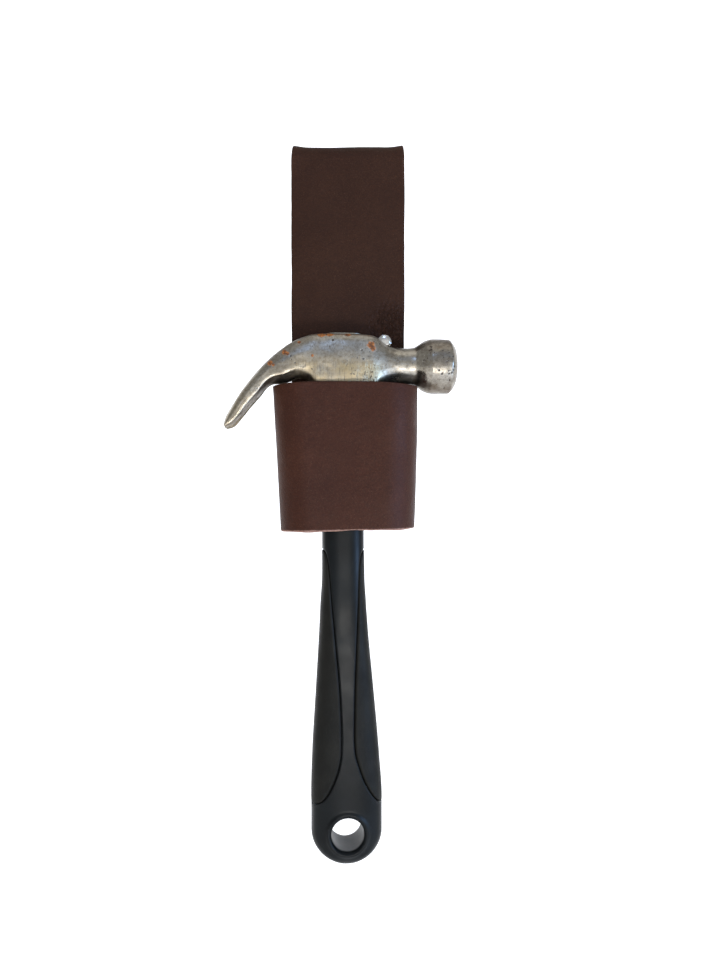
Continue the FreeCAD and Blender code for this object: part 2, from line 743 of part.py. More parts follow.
def write_files():
    os.makedirs("parts", exist_ok=True)
    for label, piece in subparts.items():
        piece.Shape.exportStep(f"parts/{label}.step")
        print(f"{label}: {len(piece.Shape.Solids)} solid, {piece.Shape.Volume:.0f} mm3")


fill_sheet()
belt_loop_strap()
hammer_sleeve()
rivets()
hammer_head()
handle_core()
eye_bond()
handle_jacket_and_panels()
doc.recompute()
refuse_faults()
write_files()
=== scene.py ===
# %% [markdown]
# # A leather hammer holster, and the claw hammer that hangs in it
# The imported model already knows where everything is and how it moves. This lesson gives it its
# looks: cut leather, forged steel, moulded plastic and polished rivets. Every new piece is a
# surface worked out with numpy, as a grid of points that follows a formula.

# %% Load the fixed frame
import json
import math
import bmesh
import bpy
import numpy as np
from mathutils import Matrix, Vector


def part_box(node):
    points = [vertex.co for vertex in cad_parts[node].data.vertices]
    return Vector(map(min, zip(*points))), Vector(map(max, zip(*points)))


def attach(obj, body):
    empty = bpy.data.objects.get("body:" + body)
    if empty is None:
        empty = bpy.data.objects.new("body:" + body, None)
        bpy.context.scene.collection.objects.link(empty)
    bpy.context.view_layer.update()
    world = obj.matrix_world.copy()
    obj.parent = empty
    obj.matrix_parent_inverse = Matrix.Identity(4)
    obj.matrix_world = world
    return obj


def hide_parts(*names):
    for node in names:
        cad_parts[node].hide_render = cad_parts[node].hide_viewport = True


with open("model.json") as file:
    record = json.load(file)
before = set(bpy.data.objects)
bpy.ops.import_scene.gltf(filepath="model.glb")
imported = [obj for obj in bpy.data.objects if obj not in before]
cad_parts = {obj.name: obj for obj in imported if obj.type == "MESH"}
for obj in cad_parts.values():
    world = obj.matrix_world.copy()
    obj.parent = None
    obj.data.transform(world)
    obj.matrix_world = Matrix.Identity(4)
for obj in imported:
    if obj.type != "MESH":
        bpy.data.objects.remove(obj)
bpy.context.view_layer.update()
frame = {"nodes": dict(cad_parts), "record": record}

MM = 0.001

# %% [markdown]
# ## Where the pieces are
# The hammer hangs a few degrees turned, so it gets a frame of its own: x towards the striking
# face, z up the handle, in millimetres. The fibreglass core is centred on that frame's z axis,
# and the hang hole's mount says which way the hammer is turned. The strap's box gives the
# leather loop its size.

# %% Read places and sizes from the frame
HEAD_TOP = 15.8          # from the poll's axis up to the top of the eye
LEATHER = 3.0
hole = next(m for m in frame["record"]["mounts"] if m["name"] == "hang_hole")
turn = math.atan2(hole["axis"][0], -hole["axis"][1])


def box_of(node):
    """Lowest and highest corner of the node's box, in millimetres."""
    return np.array(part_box(node)) / MM


core = box_of("handle_core").mean(axis=0)
hammer_origin = np.array([core[0], core[1], box_of("hammer_head")[1, 2] - HEAD_TOP])
strap_low, strap_high = box_of("belt_loop_strap")
sleeve_low, sleeve_high = box_of("hammer_sleeve")


def from_hammer(points):
    """Turns points about z by the hammer's turn, then moves them to where the hammer hangs."""
    x, y, z = np.moveaxis(points, -1, 0)
    sine, cosine = math.sin(turn), math.cos(turn)
    return np.stack([x * cosine - y * sine, x * sine + y * cosine, z], -1) + hammer_origin


def in_hammer(points):
    """The same step backwards, so that patterns can be placed in the hammer's own frame."""
    x, y, z = np.moveaxis(points - hammer_origin, -1, 0)
    sine, cosine = math.sin(turn), math.cos(turn)
    return np.stack([x * cosine + y * sine, y * cosine - x * sine, z], -1)


print("hammer origin", hammer_origin.round(2), "turned", round(math.degrees(turn), 2), "degrees")

# %% [markdown]
# ## Tools for surfaces
# A few small functions do all the work. `through` draws a smooth line through a few chosen
# values, without overshooting them. `ripple` is a repeatable, gentle unevenness. `oval` and
# `rounded_bar` are the two sections that everything long is made from.

# %% Numpy helpers


def through(knots, values, at):
    """Cubic through the values, with each knot's slope the harmonic mean of its two sides'."""
    knots, values = np.asarray(knots, float), np.asarray(values, float)
    values = values.reshape(len(knots), -1)
    width = np.diff(knots)[:, None]
    rise = np.diff(values, axis=0) / width
    before, after = rise[:-1], rise[1:]
    same_way = before * after > 0
    total = np.where(same_way, before + after, 1)
    middle = np.where(same_way, 2 * before * after / total, 0)
    slopes = np.vstack([rise[:1], middle, rise[-1:]])
    at = np.clip(np.asarray(at, float), knots[0], knots[-1])
    i = np.clip(np.searchsorted(knots, at, side="right") - 1, 0, len(knots) - 2)
    step = width[i]
    t = ((at - knots[i]) / width[i, 0])[..., None]
    start, end = values[i], values[i + 1]
    lean = (3 * t**2 - 2 * t**3) * (end - start)
    bend = (t**3 - 2 * t**2 + t) * step * slopes[i] + (t**3 - t**2) * step * slopes[i + 1]
    return start + lean + bend


def ease(low, high, value):
    """0 below low, 1 above high, and a smooth step between."""
    t = np.clip((value - low) / (high - low), 0, 1)
    return t * t * (3 - 2 * t)


def ripple(points, wavelength, seed, waves=14):
    """Sum of cosine waves of nearly one length, in seeded directions: about -1 to 1."""
    rng = np.random.default_rng(seed)
    direction = rng.normal(size=(waves, 3))
    direction /= np.linalg.norm(direction, axis=1, keepdims=True)
    number = 2 * math.pi / (wavelength * rng.uniform(0.7, 1.5, waves))
    phase = rng.uniform(0, 2 * math.pi, waves)
    return np.cos(points @ (direction * number[:, None]).T + phase).sum(-1) / math.sqrt(waves)


def oval(ray, square):
    """(across, along) of the oval |a|^n + |b|^n = 1 on the ray at that angle from along."""
    reach = (np.abs(np.sin(ray)) ** square + np.abs(np.cos(ray)) ** square) ** (-1 / square)
    return np.sin(ray) * reach, np.cos(ray) * reach


def rounded_bar(half_width, half_height, radius, across, corner=5, up=3):
    """Loop round a bar's section, from the left of its top: flat, quarter circle, side, and so
    on. The whole numbers are the steps in a flat, a corner and a side."""
    turns = np.linspace(0, math.pi / 2, corner + 1)
    inner = np.array([half_width - radius, half_height - radius])
    flat = np.linspace(-1, 1, across + 1)[1:-1] * inner[0]
    side = np.linspace(1, -1, up + 1)[1:-1] * inner[1]
    top = np.stack([flat, np.full(across - 1, half_height)], -1)
    right = np.stack([np.full(up - 1, half_width), side], -1)
    bend = inner + radius * np.stack([np.sin(turns), np.cos(turns)], -1)
    return np.vstack([top, bend, right, bend[::-1] * (1, -1),
                      -top, -bend, -right, bend[::-1] * (-1, 1)])


print("line through 0, 1, 0 at its middle knot:", through([0, 1, 2], [0, 1, 0], [1.0])[0])

# %% [markdown]
# `shell` turns a grid of points into a mesh, joins its seam and poles, and points its faces
# outwards. Some pieces are made as two halves that part at a slot or a hole, and `joined` puts
# those together. Blender's attributes carry painted values, such as wear, to the finishes.

# %% Mesh helpers


def shell(name, points, kept=None, wrap=True):
    """Mesh of a grid [row, column] of points in millimetres. wrap joins the last column to the
    first. kept says which of the grid's faces to make. Coincident points are then merged."""
    rows, columns = points.shape[:2]
    number = np.arange(rows * columns).reshape(rows, columns)
    right = np.roll(number, -1, axis=1) if wrap else number[:, 1:]
    here = number if wrap else number[:, :-1]
    quads = np.stack([here[:-1], right[:-1], right[1:], here[1:]], -1)
    quads = quads[kept] if kept is not None else quads.reshape(-1, 4)
    mesh = bpy.data.meshes.new(name)
    mesh.from_pydata((points.reshape(-1, 3) * MM).tolist(), [], quads.reshape(-1, 4).tolist())
    return finish_mesh(name, mesh)


def finish_mesh(name, mesh, merge=2e-6):
    """Merges the seam and poles, turns the faces outwards and shades it smooth but for edges."""
    made = bmesh.new()
    made.from_mesh(mesh)
    bmesh.ops.remove_doubles(made, verts=made.verts, dist=merge)
    bmesh.ops.dissolve_degenerate(made, edges=made.edges, dist=merge / 4)
    loose = [v for v in made.verts if not v.link_faces]
    bmesh.ops.delete(made, geom=loose, context="VERTS")
    bmesh.ops.recalc_face_normals(made, faces=made.faces)
    if made.calc_volume(signed=True) < 0:
        bmesh.ops.reverse_faces(made, faces=made.faces)
    open_edges = sum(1 for edge in made.edges if not edge.is_manifold)
    made.to_mesh(mesh)
    made.free()
    mesh.shade_smooth()
    mesh.set_sharp_from_angle(angle=math.radians(38))
    piece = bpy.data.objects.new(name, mesh)
    bpy.context.scene.collection.objects.link(piece)
    print(f"{name}: {len(mesh.vertices)} points, {open_edges} open edges")
    return piece


def joined(halves, open_rows, outer):
    """Both halves as one grid, the second turned end for end, with no faces between them. The
    columns from outer on are the wall, which is made only where the middle stands open."""
    kept = np.ones((len(open_rows) - 1, halves[0].shape[1]), bool)
    kept[:, outer - 1:] = (open_rows[:-1] | open_rows[1:])[:, None]
    bridge = np.zeros_like(kept[:1])
    both = np.concatenate([halves[0], halves[1][::-1]])
    return both, np.concatenate([kept, bridge, kept[::-1]])


def read(piece, key):
    """One vector per point of the piece, as an array."""
    flat = np.empty(len(piece.data.vertices) * 3)
    piece.data.vertices.foreach_get(key, flat)
    return flat.reshape(-1, 3)


def places(piece):
    """The piece's points, in millimetres."""
    return read(piece, "co") / MM


def push_out(piece, distance):
    """Moves each point along its normal by its own distance, in millimetres."""
    moved = places(piece) + read(piece, "normal") * distance[:, None]
    piece.data.vertices.foreach_set("co", (moved * MM).ravel())
    piece.data.update()


def paint(piece, name, values):
    """Keeps one number per point for the material to read, such as how worn it is there."""
    layer = piece.data.attributes.new(name, "FLOAT", "POINT")
    layer.data.foreach_set("value", np.clip(values, 0, 1).astype(np.float32))


def dress(piece, material, body, slot, *nodes):
    """Gives the piece its finish, hangs it on its CAD body and lets it stand for CAD nodes."""
    piece.data.materials.append(material)
    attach(piece, body)
    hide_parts(*nodes)


# %% [markdown]
# ## Material helpers
# A finish is a small graph: noises in object coordinates steer colour, roughness and bump. The
# helper class keeps that short. Most calls make one node, wire it and hand back its output, and
# `tint`, `duller` and `bump` lay it over what the finish has so far.

# %% Material helper


class Finish:
    """A material being built, with its colour, roughness and normal worked out so far."""

    def __init__(self, name, colour, roughness=0.5, metallic=0.0, specular=0.5):
        self.material = bpy.data.materials.new(name)
        self.material.use_nodes = True
        self.tree = self.material.node_tree
        self.shader = self.tree.nodes["Principled BSDF"]
        self.shader.inputs["Metallic"].default_value = metallic
        self.shader.inputs["Specular IOR Level"].default_value = specular
        self.where = self.tree.nodes.new("ShaderNodeTexCoord").outputs["Object"]
        self.colour, self.roughness, self.normal = shade(*colour), roughness, None

    def put(self, node, key, value):
        if isinstance(value, bpy.types.NodeSocket):
            self.tree.links.new(value, node.inputs[key])
        elif value is not None:
            node.inputs[key].default_value = value

    def node(self, kind, inputs=None, **settings):
        made = self.tree.nodes.new("ShaderNode" + kind)
        for key, value in settings.items():
            setattr(made, key, value)
        for key, value in (inputs or {}).items():
            self.put(made, key, value)
        return made

    def stretched(self, scale):
        return self.node("Mapping", {"Vector": self.where, "Scale": scale}).outputs["Vector"]

    def noise(self, scale, detail=4.0, rough=0.55, where=None):
        inputs = {"Vector": where or self.where, "Scale": scale, "Detail": detail,
                  "Roughness": rough}
        return self.node("TexNoise", inputs).outputs["Fac"]

    def cells(self, scale, feature="F1"):
        inputs = {"Vector": self.where, "Scale": scale}
        return self.node("TexVoronoi", inputs, feature=feature).outputs["Distance"]

    def painted(self, name):
        return self.node("Attribute", attribute_name=name).outputs["Fac"]

    def between(self, value, low, high, to_low=0.0, to_high=1.0):
        inputs = {"Value": value, "From Min": low, "From Max": high, "To Min": to_low,
                  "To Max": to_high}
        return self.node("MapRange", inputs, clamp=True).outputs["Result"]

    def clouds(self, scale, detail, low, high, to_low=0.0, to_high=1.0, rough=0.55):
        return self.between(self.noise(scale, detail, rough), low, high, to_low, to_high)

    def sum(self, first, second, operation="ADD"):
        return self.node("Math", {0: first, 1: second}, operation=operation).outputs["Value"]

    def times(self, first, second):
        return self.sum(first, second, "MULTIPLY")

    def blend(self, share, first, second):
        """Two colours mixed. A Mix node's inputs 6 and 7 and its output 2 are the colour ones."""
        inputs = {0: share, 6: first, 7: second}
        return self.node("Mix", inputs, data_type="RGBA").outputs[2]

    def tint(self, share, colour):
        self.colour = self.blend(share, self.colour, shade(*colour))

    def duller(self, more):
        self.roughness = self.sum(self.roughness, more)

    def bump(self, height, depth, strength):
        inputs = {"Height": height, "Distance": depth, "Strength": strength,
                  "Normal": self.normal}
        self.normal = self.node("Bump", inputs).outputs["Normal"]

    def done(self, **sockets):
        layers = {"Base Color": self.colour, "Roughness": self.roughness, "Normal": self.normal}
        for name, value in {**layers, **sockets}.items():
            self.put(self.shader, name.replace("_", " "), value)
        return self.material


def shade(red, green, blue):
    """A colour from 0 to 255, as the linear values that a shader takes."""
    channels = np.array([red, green, blue]) / 255
    linear = np.where(channels < 0.04045, channels / 12.92, ((channels + 0.055) / 1.055) ** 2.4)
    return (*linear.tolist(), 1.0)


print("mid grey is", round(shade(128, 128, 128)[0], 3), "in linear light")

# %% [markdown]
# ## Leather
# Dyed strap leather is nearly even in colour, with a faint cloudiness from the hide, a fine
# pebble grain and the odd pale fleck. Its cut edges are rawer and lighter than its face. The
# strap and the sleeve are the same leather from two pieces, the sleeve's a little redder.

# %% Leather finish


def leather(name, dark, light, cut_colour):
    """Cloudy dye, fibres, speckle and flecks, then the raw cut edge, and the rubbed corners, which
    are partly a painted highlight.
    """
    skin = Finish(name, dark, specular=0.14)
    skin.tint(skin.clouds(26, 5, 0.32, 0.70, rough=0.6), light)
    skin.tint(skin.clouds(900, 3, 0.35, 0.75, 0, 0.55, rough=0.7), (30, 15, 10))
    skin.tint(skin.clouds(1700, 3, 0.56, 0.69, 0, 0.30, rough=0.85), (118, 84, 66))
    fleck = skin.times(skin.between(skin.cells(420), 0.07, 0.03), skin.clouds(330, 1, 0.60, 0.66))
    skin.tint(skin.times(fleck, 0.5), (150, 112, 92))
    cut = skin.sum(skin.painted("cut"), skin.times(skin.noise(520, 4), 0.5))
    ragged = skin.between(cut, 0.62, 0.92)
    raw = skin.blend(skin.noise(700, 4), shade(*cut_colour), shade(84, 54, 44))
    skin.colour = skin.blend(ragged, skin.colour, raw)
    # Partly wear, partly a painted highlight: the rubbed mask lightens the top of the strap's fold
    # and the sleeve's rounded ends.
    rubbed_and_highlit = skin.times(skin.painted("rubbed_and_highlit"), skin.noise(180, 4))
    skin.tint(skin.times(rubbed_and_highlit, 0.55), (104, 72, 58))
    skin.bump(skin.cells(1150, "SMOOTH_F1"), 0.00025, 0.7)
    skin.bump(skin.noise(2600, 3), 0.0001, 0.6)
    crease = skin.noise(1, 4, 0.6, skin.stretched((520, 520, 380)))
    creased = skin.painted("creased")
    skin.bump(skin.times(skin.between(crease, 0.40, 0.62), creased), 0.0012, 1.0)
    skin.roughness = skin.clouds(60, 4, 0.3, 0.7, 0.44, 0.60)
    skin.duller(skin.times(creased, -0.14))
    skin.duller(skin.times(ragged, 0.3))
    return skin.done()


strap_leather = leather("strap_leather", (47, 25, 14), (57, 33, 20), (92, 62, 48))
sleeve_leather = leather("sleeve_leather", (56, 27, 17), (67, 36, 24), (186, 150, 134))
print("leather finishes:", strap_leather.name, sleeve_leather.name)

# %% [markdown]
# ## The belt-loop strap
# One strap of leather is folded over at the top. Seen from the side it is a single line: up the
# front leg, round the fold, down the back leg, and in a soft step to where the two legs are
# riveted together. Carrying a bar with rounded edges along that line gives the strap. Both
# ends thin out over the last millimetre, and there the bar closes on itself.

# %% The strap's line and its surface
GAP = (strap_high[1] - strap_low[1]) - 2 * LEATHER
EDGE = 0.9               # radius of the cut edges' rounding
END_STEPS = 6            # rows in which an end rounds off
END_ROWS = END_STEPS + 1
STEP_TOP, STEP_FOOT = -30.0, -48.0
TAIL = 10.0              # from the rivets down to the tail's end
rivet_nodes = sorted(n for n in frame["nodes"] if n.endswith("_cap"))
rivet_spots = {node: box_of(node).mean(axis=0) for node in rivet_nodes}


def strap_line():
    """Middle of the strap's thickness, as (y, z): lines, a half circle and a cosine step."""
    leg, half = (GAP + LEATHER) / 2, LEATHER / 2
    fold, closed = strap_high[2] - leg - half, half - GAP / 2
    turning = np.linspace(math.pi, 0, 40)
    over = np.stack([leg * np.cos(turning), fold + leg * np.sin(turning)], -1)
    drop = np.linspace(0, 1, 30)
    step = np.stack([closed + (leg - closed) * (0.5 + 0.5 * np.cos(math.pi * drop)),
                     STEP_TOP + (STEP_FOOT - STEP_TOP) * drop], -1)
    tail_end = rivet_spots["loop_rivet_left_cap"][2] - TAIL
    return np.vstack([[-leg, strap_low[2]], over, step, [closed, tail_end]])


def evenly(line, spacing):
    """The same line with points at even steps along it."""
    along = np.r_[0, np.cumsum(np.linalg.norm(np.diff(line, axis=0), axis=1))]
    even = np.linspace(0, along[-1], int(along[-1] / spacing) + 1)
    return np.stack([np.interp(even, along, line[:, i]) for i in range(2)], -1)


def round_ends(rows):
    """Quarter circles at both ends: the share of the thickness left in each row, how far each
    row's edges have drawn in, and how far the rows of one end stand from its very end."""
    turn_in = np.linspace(0, math.pi / 2, END_STEPS)
    drawn = EDGE * (1 - np.sin(turn_in))
    left = 1 - drawn / (LEATHER / 2)
    share = np.r_[0, left, np.ones(rows), left[::-1], 0]
    inset = np.r_[drawn[0], drawn, np.zeros(rows), drawn[::-1], drawn[0]]
    return share, inset, EDGE * (1 - np.cos(turn_in))


def strap_surface():
    """Each row is the bar's section, stood square to the line and shrunk near the two ends."""
    line = evenly(strap_line(), 1.25)
    share, inset, forward = round_ends(len(line) - 2)
    up, down = np.array([(0, 1.0), (0, -1.0)])
    first = np.vstack([line[:1], line[0] + forward[:, None] * up])
    last = np.vstack([line[-1] - forward[::-1, None] * down, line[-1:]])
    line = np.vstack([first, line[1:-1], last])
    tangent = np.gradient(line, axis=0)
    tangent[:END_ROWS], tangent[-END_ROWS:] = up, down
    tangent /= np.linalg.norm(tangent, axis=1, keepdims=True)
    normal = np.stack([-tangent[:, 1], tangent[:, 0]], -1)
    half = (strap_high[0] - strap_low[0]) / 2
    bar = rounded_bar(half, LEATHER / 2, EDGE, across=88)
    x = bar[None, :, 0] * (1 - inset[:, None] / half)
    off = bar[None, :, 1] * share[:, None]
    y = line[:, None, 0] + normal[:, None, 0] * off
    z = line[:, None, 1] + normal[:, None, 1] * off
    return np.stack([x + 0 * y, y, z], -1), half


def widening(z):
    """The strap's width at each height, as a share of its width at the bottom."""
    return 1 + 0.014 * ease(-150, 30, z)


def shape_strap(points, half):
    """Slightly wider at the top, drawn in at the fold, with the fold's two corners curled up."""
    x, y, z = np.moveaxis(points, -1, 0).copy()
    x = x * (widening(z) - 0.022 * ease(46, 57, z))
    corner = np.exp(-(((half - np.abs(x)) / 5.0) ** 2))
    z = z + 0.9 * corner * ease(46, 55, z) * np.where(x > 0, 1.0, 0.8)
    y = y - 0.5 * corner * ease(35, 52, z) * (y < 0)
    return np.stack([x, y, z], -1)


points, half_strap = strap_surface()
strap = shell("belt_loop_strap_leather", shape_strap(points, half_strap))
spots = places(strap)
x, y, z = spots.T
to_rivet = np.min([np.hypot(x - r[0], z - r[2]) for r in rivet_spots.values()], axis=0)
free = ease(4.5, 12, to_rivet) * ease(-84, -70, z)
pucker = 0.16 * np.exp(-(((to_rivet - 6.5) / 1.6) ** 2)) * ease(4.2, 5.2, to_rivet)
push_out(strap, 0.16 * free * ripple(spots, 38, 3) + 0.03 * ripple(spots, 7, 4) * free + pucker)
edge_on = np.abs(x) > half_strap * widening(z) - 1.0
paint(strap, "cut", edge_on * 0.25 + (z < strap_low[2] + 0.6) * 0.7)
fold_edge = ease(52, 56, z)
# Painted highlight, with some wear: the top of the fold, which faces up, is painted lighter.
paint(strap, "rubbed_and_highlit", 0.75 * fold_edge + 0.5 * edge_on * ease(30, 50, z))
near_right = np.exp(-((x - 25) / 10) ** 2 - ((z + 50) / 11) ** 2)
paint(strap, "creased", 1.5 * near_right + 0.25 * fold_edge)
dress(strap, strap_leather, "holster", "strap_leather", "belt_loop_strap")

# %% [markdown]
# ## The sleeve
# A second piece is wrapped round the hammer, so that from above it is a flat loop with
# half-round ends. Its two edges come together behind the strap. The loop is narrower at the
# bottom, and its lower edge was cut by hand: it climbs a little to one side and shows raw
# leather. The surface is the same rounded bar, stood upright and carried round the loop.

# %% The sleeve's surface
WALL = LEATHER / 2
depth = sleeve_high[1] - sleeve_low[1]
end_radius = depth / 2 - WALL
SEAM_HALF = 2.5
LOW_HALF = 37.0          # half width at the bottom


def sleeve_loop():
    """Going round in five even stretches: which way each point faces from its centre, and how
    far that centre is at the right end, at the left end and at the seam."""
    stops = np.cumsum([0, 21, 55, 69, 55, 21])
    values = np.array([(90, 0, 0, 1), (90, 1, 0, 0), (-90, 1, 0, 0),
                       (-90, 0, 1, 0), (-270, 0, 1, 0), (-270, 0, 0, -1)])
    steps = np.arange(stops[-1] + 1)
    facing, to_right, to_left, seam = (np.interp(steps, stops, each) for each in values.T)
    return np.radians(facing), to_right, to_left, SEAM_HALF * seam


def with_ends(values):
    """Repeats the first and last value, for the rows that round off the two seam edges."""
    return np.r_[[values[0]] * END_ROWS, values[1:-1], [values[-1]] * END_ROWS]


def sleeve_surface():
    """Each row is the bar's section stood upright at its place round the loop. The loop's two
    ends are further apart at the rim, in proportion to the height."""
    facing, to_right, to_left, seam = (with_ends(v) for v in sleeve_loop())
    share, inset, forward = round_ends(len(facing) - 2 * END_ROWS)
    slide = np.zeros(len(facing))
    slide[1:END_ROWS], slide[-END_ROWS:-1] = -forward, forward[::-1]
    tall = (sleeve_high[2] - sleeve_low[2]) / 2
    bar = rounded_bar(tall, WALL, 0.8, across=74)
    up = bar[None, :, 0] * (1 - inset[:, None] / tall)
    off = bar[None, :, 1] * share[:, None]
    rise = (up + tall) / (2 * tall)
    left = -LOW_HALF + (sleeve_low[0] + LOW_HALF) * rise
    right = LOW_HALF + 0.6 + (sleeve_high[0] + 0.5 - LOW_HALF) * rise
    centre = to_right[:, None] * (right - depth / 2) + to_left[:, None] * (left + depth / 2)
    x = centre + (seam + slide)[:, None] + (end_radius + off) * np.cos(facing)[:, None]
    middle_y = (sleeve_low[1] + sleeve_high[1]) / 2
    y = middle_y + (end_radius + off) * np.sin(facing)[:, None]
    z = (sleeve_low[2] + sleeve_high[2]) / 2 + up
    return np.stack([x, y, z], -1)


def shape_sleeve(points):
    """The rim dips a little at its ends, and the hand-cut lower edge climbs towards +X."""
    x, y, z = np.moveaxis(points, -1, 0).copy()
    rise = (z - sleeve_low[2]) / (sleeve_high[2] - sleeve_low[2])
    low = 1 - ease(0, 0.5, rise)
    z = z - 0.9 * ease(0.45, 1, rise) * ease(14, 40, np.abs(x + 1.5)) * (y < -12)
    slope = 0.1 + 0.02 * x + 0.25 * np.sin(x / 7 + 1) + 0.14 * np.sin(x / 2.6)
    z = z + low * slope * (y < sleeve_high[1] - 1)
    return np.stack([x, y, z], -1)


sleeve = shell("hammer_sleeve_leather", shape_sleeve(sleeve_surface()))
spots = places(sleeve)
x, y, z = spots.T
free = 1 - ease(-13, -10.5, y)
belly = np.exp(-(((z + 128) / 34) ** 2) - ((x + 4) / 22) ** 2) * ease(-30, -43, y)
push_out(sleeve, free * (0.22 * ripple(spots, 44, 8) + 0.03 * ripple(spots, 8, 9) - 0.5 * belly))
at_foot = np.clip(1 - (z - sleeve_low[2] - 0.1 - 0.02 * x) / 1.9, 0, 1)
at_rim = np.clip(1 - (sleeve_high[2] - z) / 1.1, 0, 1)
paint(sleeve, "cut", at_foot + 0.35 * at_rim)
# Painted highlight, with some wear: the sleeve's rounded ends are painted lighter, the left end
# more.
paint(sleeve, "rubbed_and_highlit", 0.8 * ease(-33, -39, x) + 0.35 * ease(33, 38, x))
paint(sleeve, "creased", 0.3 * at_rim)
dress(sleeve, sleeve_leather, "holster", "sleeve_leather", "hammer_sleeve")

# %% [markdown]
# ## Rivets
# Each cap rivet is a polished dome in front and a smaller one behind, pressed together through
# the leather. Both are profiles turned about the rivet's axis, and a pole closes each end.

# %% Rivets
ROLLED_EDGE = 0.36
SHAFT_RADIUS = 1.5
INTO_CAP = 0.6           # how far the shaft reaches into its cap


def polished_metal():
    """Bright metal with faint smears and dings."""
    metal = Finish("polished_rivet", (226, 226, 224), metallic=1.0)
    metal.tint(metal.clouds(420, 4, 0.35, 0.75), (188, 188, 186))
    metal.roughness = metal.clouds(700, 3, 0.3, 0.8, 0.10, 0.34)
    metal.bump(metal.noise(400, 2), 0.00003, 0.4)
    return metal.done()


rivet_metal = polished_metal()


def turned(name, profile, centre, sides=48):
    """Profile of (radius, y) turned about the line through centre that runs along y."""
    angle = np.linspace(0, 2 * math.pi, sides, endpoint=False)
    radius, y = np.asarray(profile).T[:, :, None]
    x = centre[0] + radius * np.cos(angle)
    z = centre[2] + radius * np.sin(angle)
    return shell(name, np.stack([x, centre[1] + y + 0 * x, z], -1))


def dome(radius, height, edge):
    """Half of a low dome: out from the top along an ellipse, then a small rolled edge."""
    turn_out = np.linspace(0, math.pi / 2, 14)
    crown = np.stack([(radius - edge) * np.sin(turn_out),
                      edge + (height - edge) * np.cos(turn_out)], -1)
    roll = np.linspace(math.pi / 2, -math.pi / 2, 9)
    rolled = np.stack([radius - edge + edge * np.cos(roll), edge / 2 * (1 + np.sin(roll))], -1)
    return np.vstack([crown, rolled[1:]])


for node in rivet_nodes:
    low, high = box_of(node)
    centre = np.array([(low[0] + high[0]) / 2, high[1], (low[2] + high[2]) / 2])
    outside = dome((high[0] - low[0]) / 2, high[1] - low[1], ROLLED_EDGE) * (1, -1)
    cap = turned(node + "_dome", np.vstack([outside, [[0, 0]]]), centre)
    dress(cap, rivet_metal, "holster", "rivet_metal", node)
    post = node.replace("_cap", "_post")
    low, high = box_of(post)
    seat = low[1] + INTO_CAP + 2 * LEATHER
    flange = dome((high[0] - low[0]) / 2, high[1] - seat, ROLLED_EDGE)
    shaft = [[SHAFT_RADIUS, 0], [SHAFT_RADIUS, low[1] - seat], [0, low[1] - seat]]
    foot = turned(post + "_flange", np.vstack([flange, shaft]), (centre[0], seat, centre[2]))
    dress(foot, rivet_metal, "holster", "rivet_metal", post)

# %% [markdown]
# ## The hammer's head
# A forged head runs in one sweep from the claws' tips to the striking face. Each row is a
# section, given by a point on the back of the head, a point under it, a half width and a
# squareness: 2 is a circle, as on the neck and poll, and 5 is the boxy part round the eye. Half
# the head is made, open along the middle, and then mirrored. Where the claws part, and through
# the eye, that middle edge stands off the centre line, and a wall closes it.

# %% The head's sections
# back x, back z, under x, under z, half width, squareness
HEAD = np.array([
    (-65.6, -33.4, -64.4, -35.5, 10.4, 3.2),
    (-64.6, -29.6, -61.0, -34.6, 10.8, 3.4),
    (-61.3, -23.6, -56.3, -29.8, 11.1, 3.6),
    (-56.7, -16.1, -51.4, -23.7, 11.4, 3.8),
    (-51.2, -8.6, -46.0, -17.6, 11.7, 4.0),
    (-45.6, -2.1, -41.6, -12.2, 12.0, 4.0),
    (-40.2, 3.3, -38.4, -10.6, 12.2, 4.0),
    (-35.0, 7.7, -33.6, -10.2, 12.4, 4.2),
    (-29.9, 11.2, -28.8, -8.8, 12.6, 4.2),
    (-25.1, 13.7, -24.2, -7.2, 12.7, 4.4),
    (-20.9, 15.3, -20.6, -7.8, 12.7, 4.4),
    (-17.4, 16.3, -18.2, -9.8, 12.7, 4.6),
    (-15.0, 16.7, -16.8, -12.6, 12.7, 4.6),
    (-12.8, 16.9, -15.6, -15.8, 12.7, 4.6),
    (-10.6, 17.0, -12.6, -16.5, 12.7, 4.8),
    (-6.0, 17.1, -6.5, -16.5, 12.8, 5.0),
    (2.0, 17.1, 2.0, -16.5, 12.9, 5.0),
    (10.0, 16.9, 10.0, -16.5, 12.6, 4.8),
    (15.5, 16.5, 15.0, -16.5, 12.2, 4.4),
    (18.6, 15.3, 17.6, -15.6, 11.6, 3.8),
    (21.4, 13.3, 20.2, -12.8, 11.0, 3.0),
    (25.0, 11.3, 24.4, -10.9, 10.4, 2.4),
    (30.0, 10.2, 30.0, -10.1, 10.1, 2.0),
])
# x and radius of the round sections: neck, poll, and the crowned face
POLL = [(36.0, 10.0), (39.6, 10.3), (42.6, 12.2), (45.4, 14.0), (47.8, 14.9), (48.4, 15.1),
        (54.0, 15.3), (59.2, 15.2), (59.9, 14.8), (62.2, 12.0), (62.8, 10.6), (63.5, 7.2),
        (63.9, 3.6), (64.0, 0.0)]
HEAD = np.vstack([HEAD, [(x, radius, x, -radius, radius, 2.0) for x, radius in POLL]])
print("the head runs from", HEAD[0, 0], "to", HEAD[-1, 0], "in", len(HEAD), "chosen sections")

# %% [markdown]
# The claws' slot widens from its root to the tips, and the eye is a stadium: two half circles
# joined by straight sides. One function tells how far both hold the halves apart.

# %% From sections to a surface
SLOT_ROOT, SLOT_SPREAD = -25.0, 5.0 / 45.0
EYE_HALF_LENGTH, EYE_HALF_WIDTH = 12.0, 7.5
WALL_LIMIT = 0.92        # the wall stays within this share of the section's half width


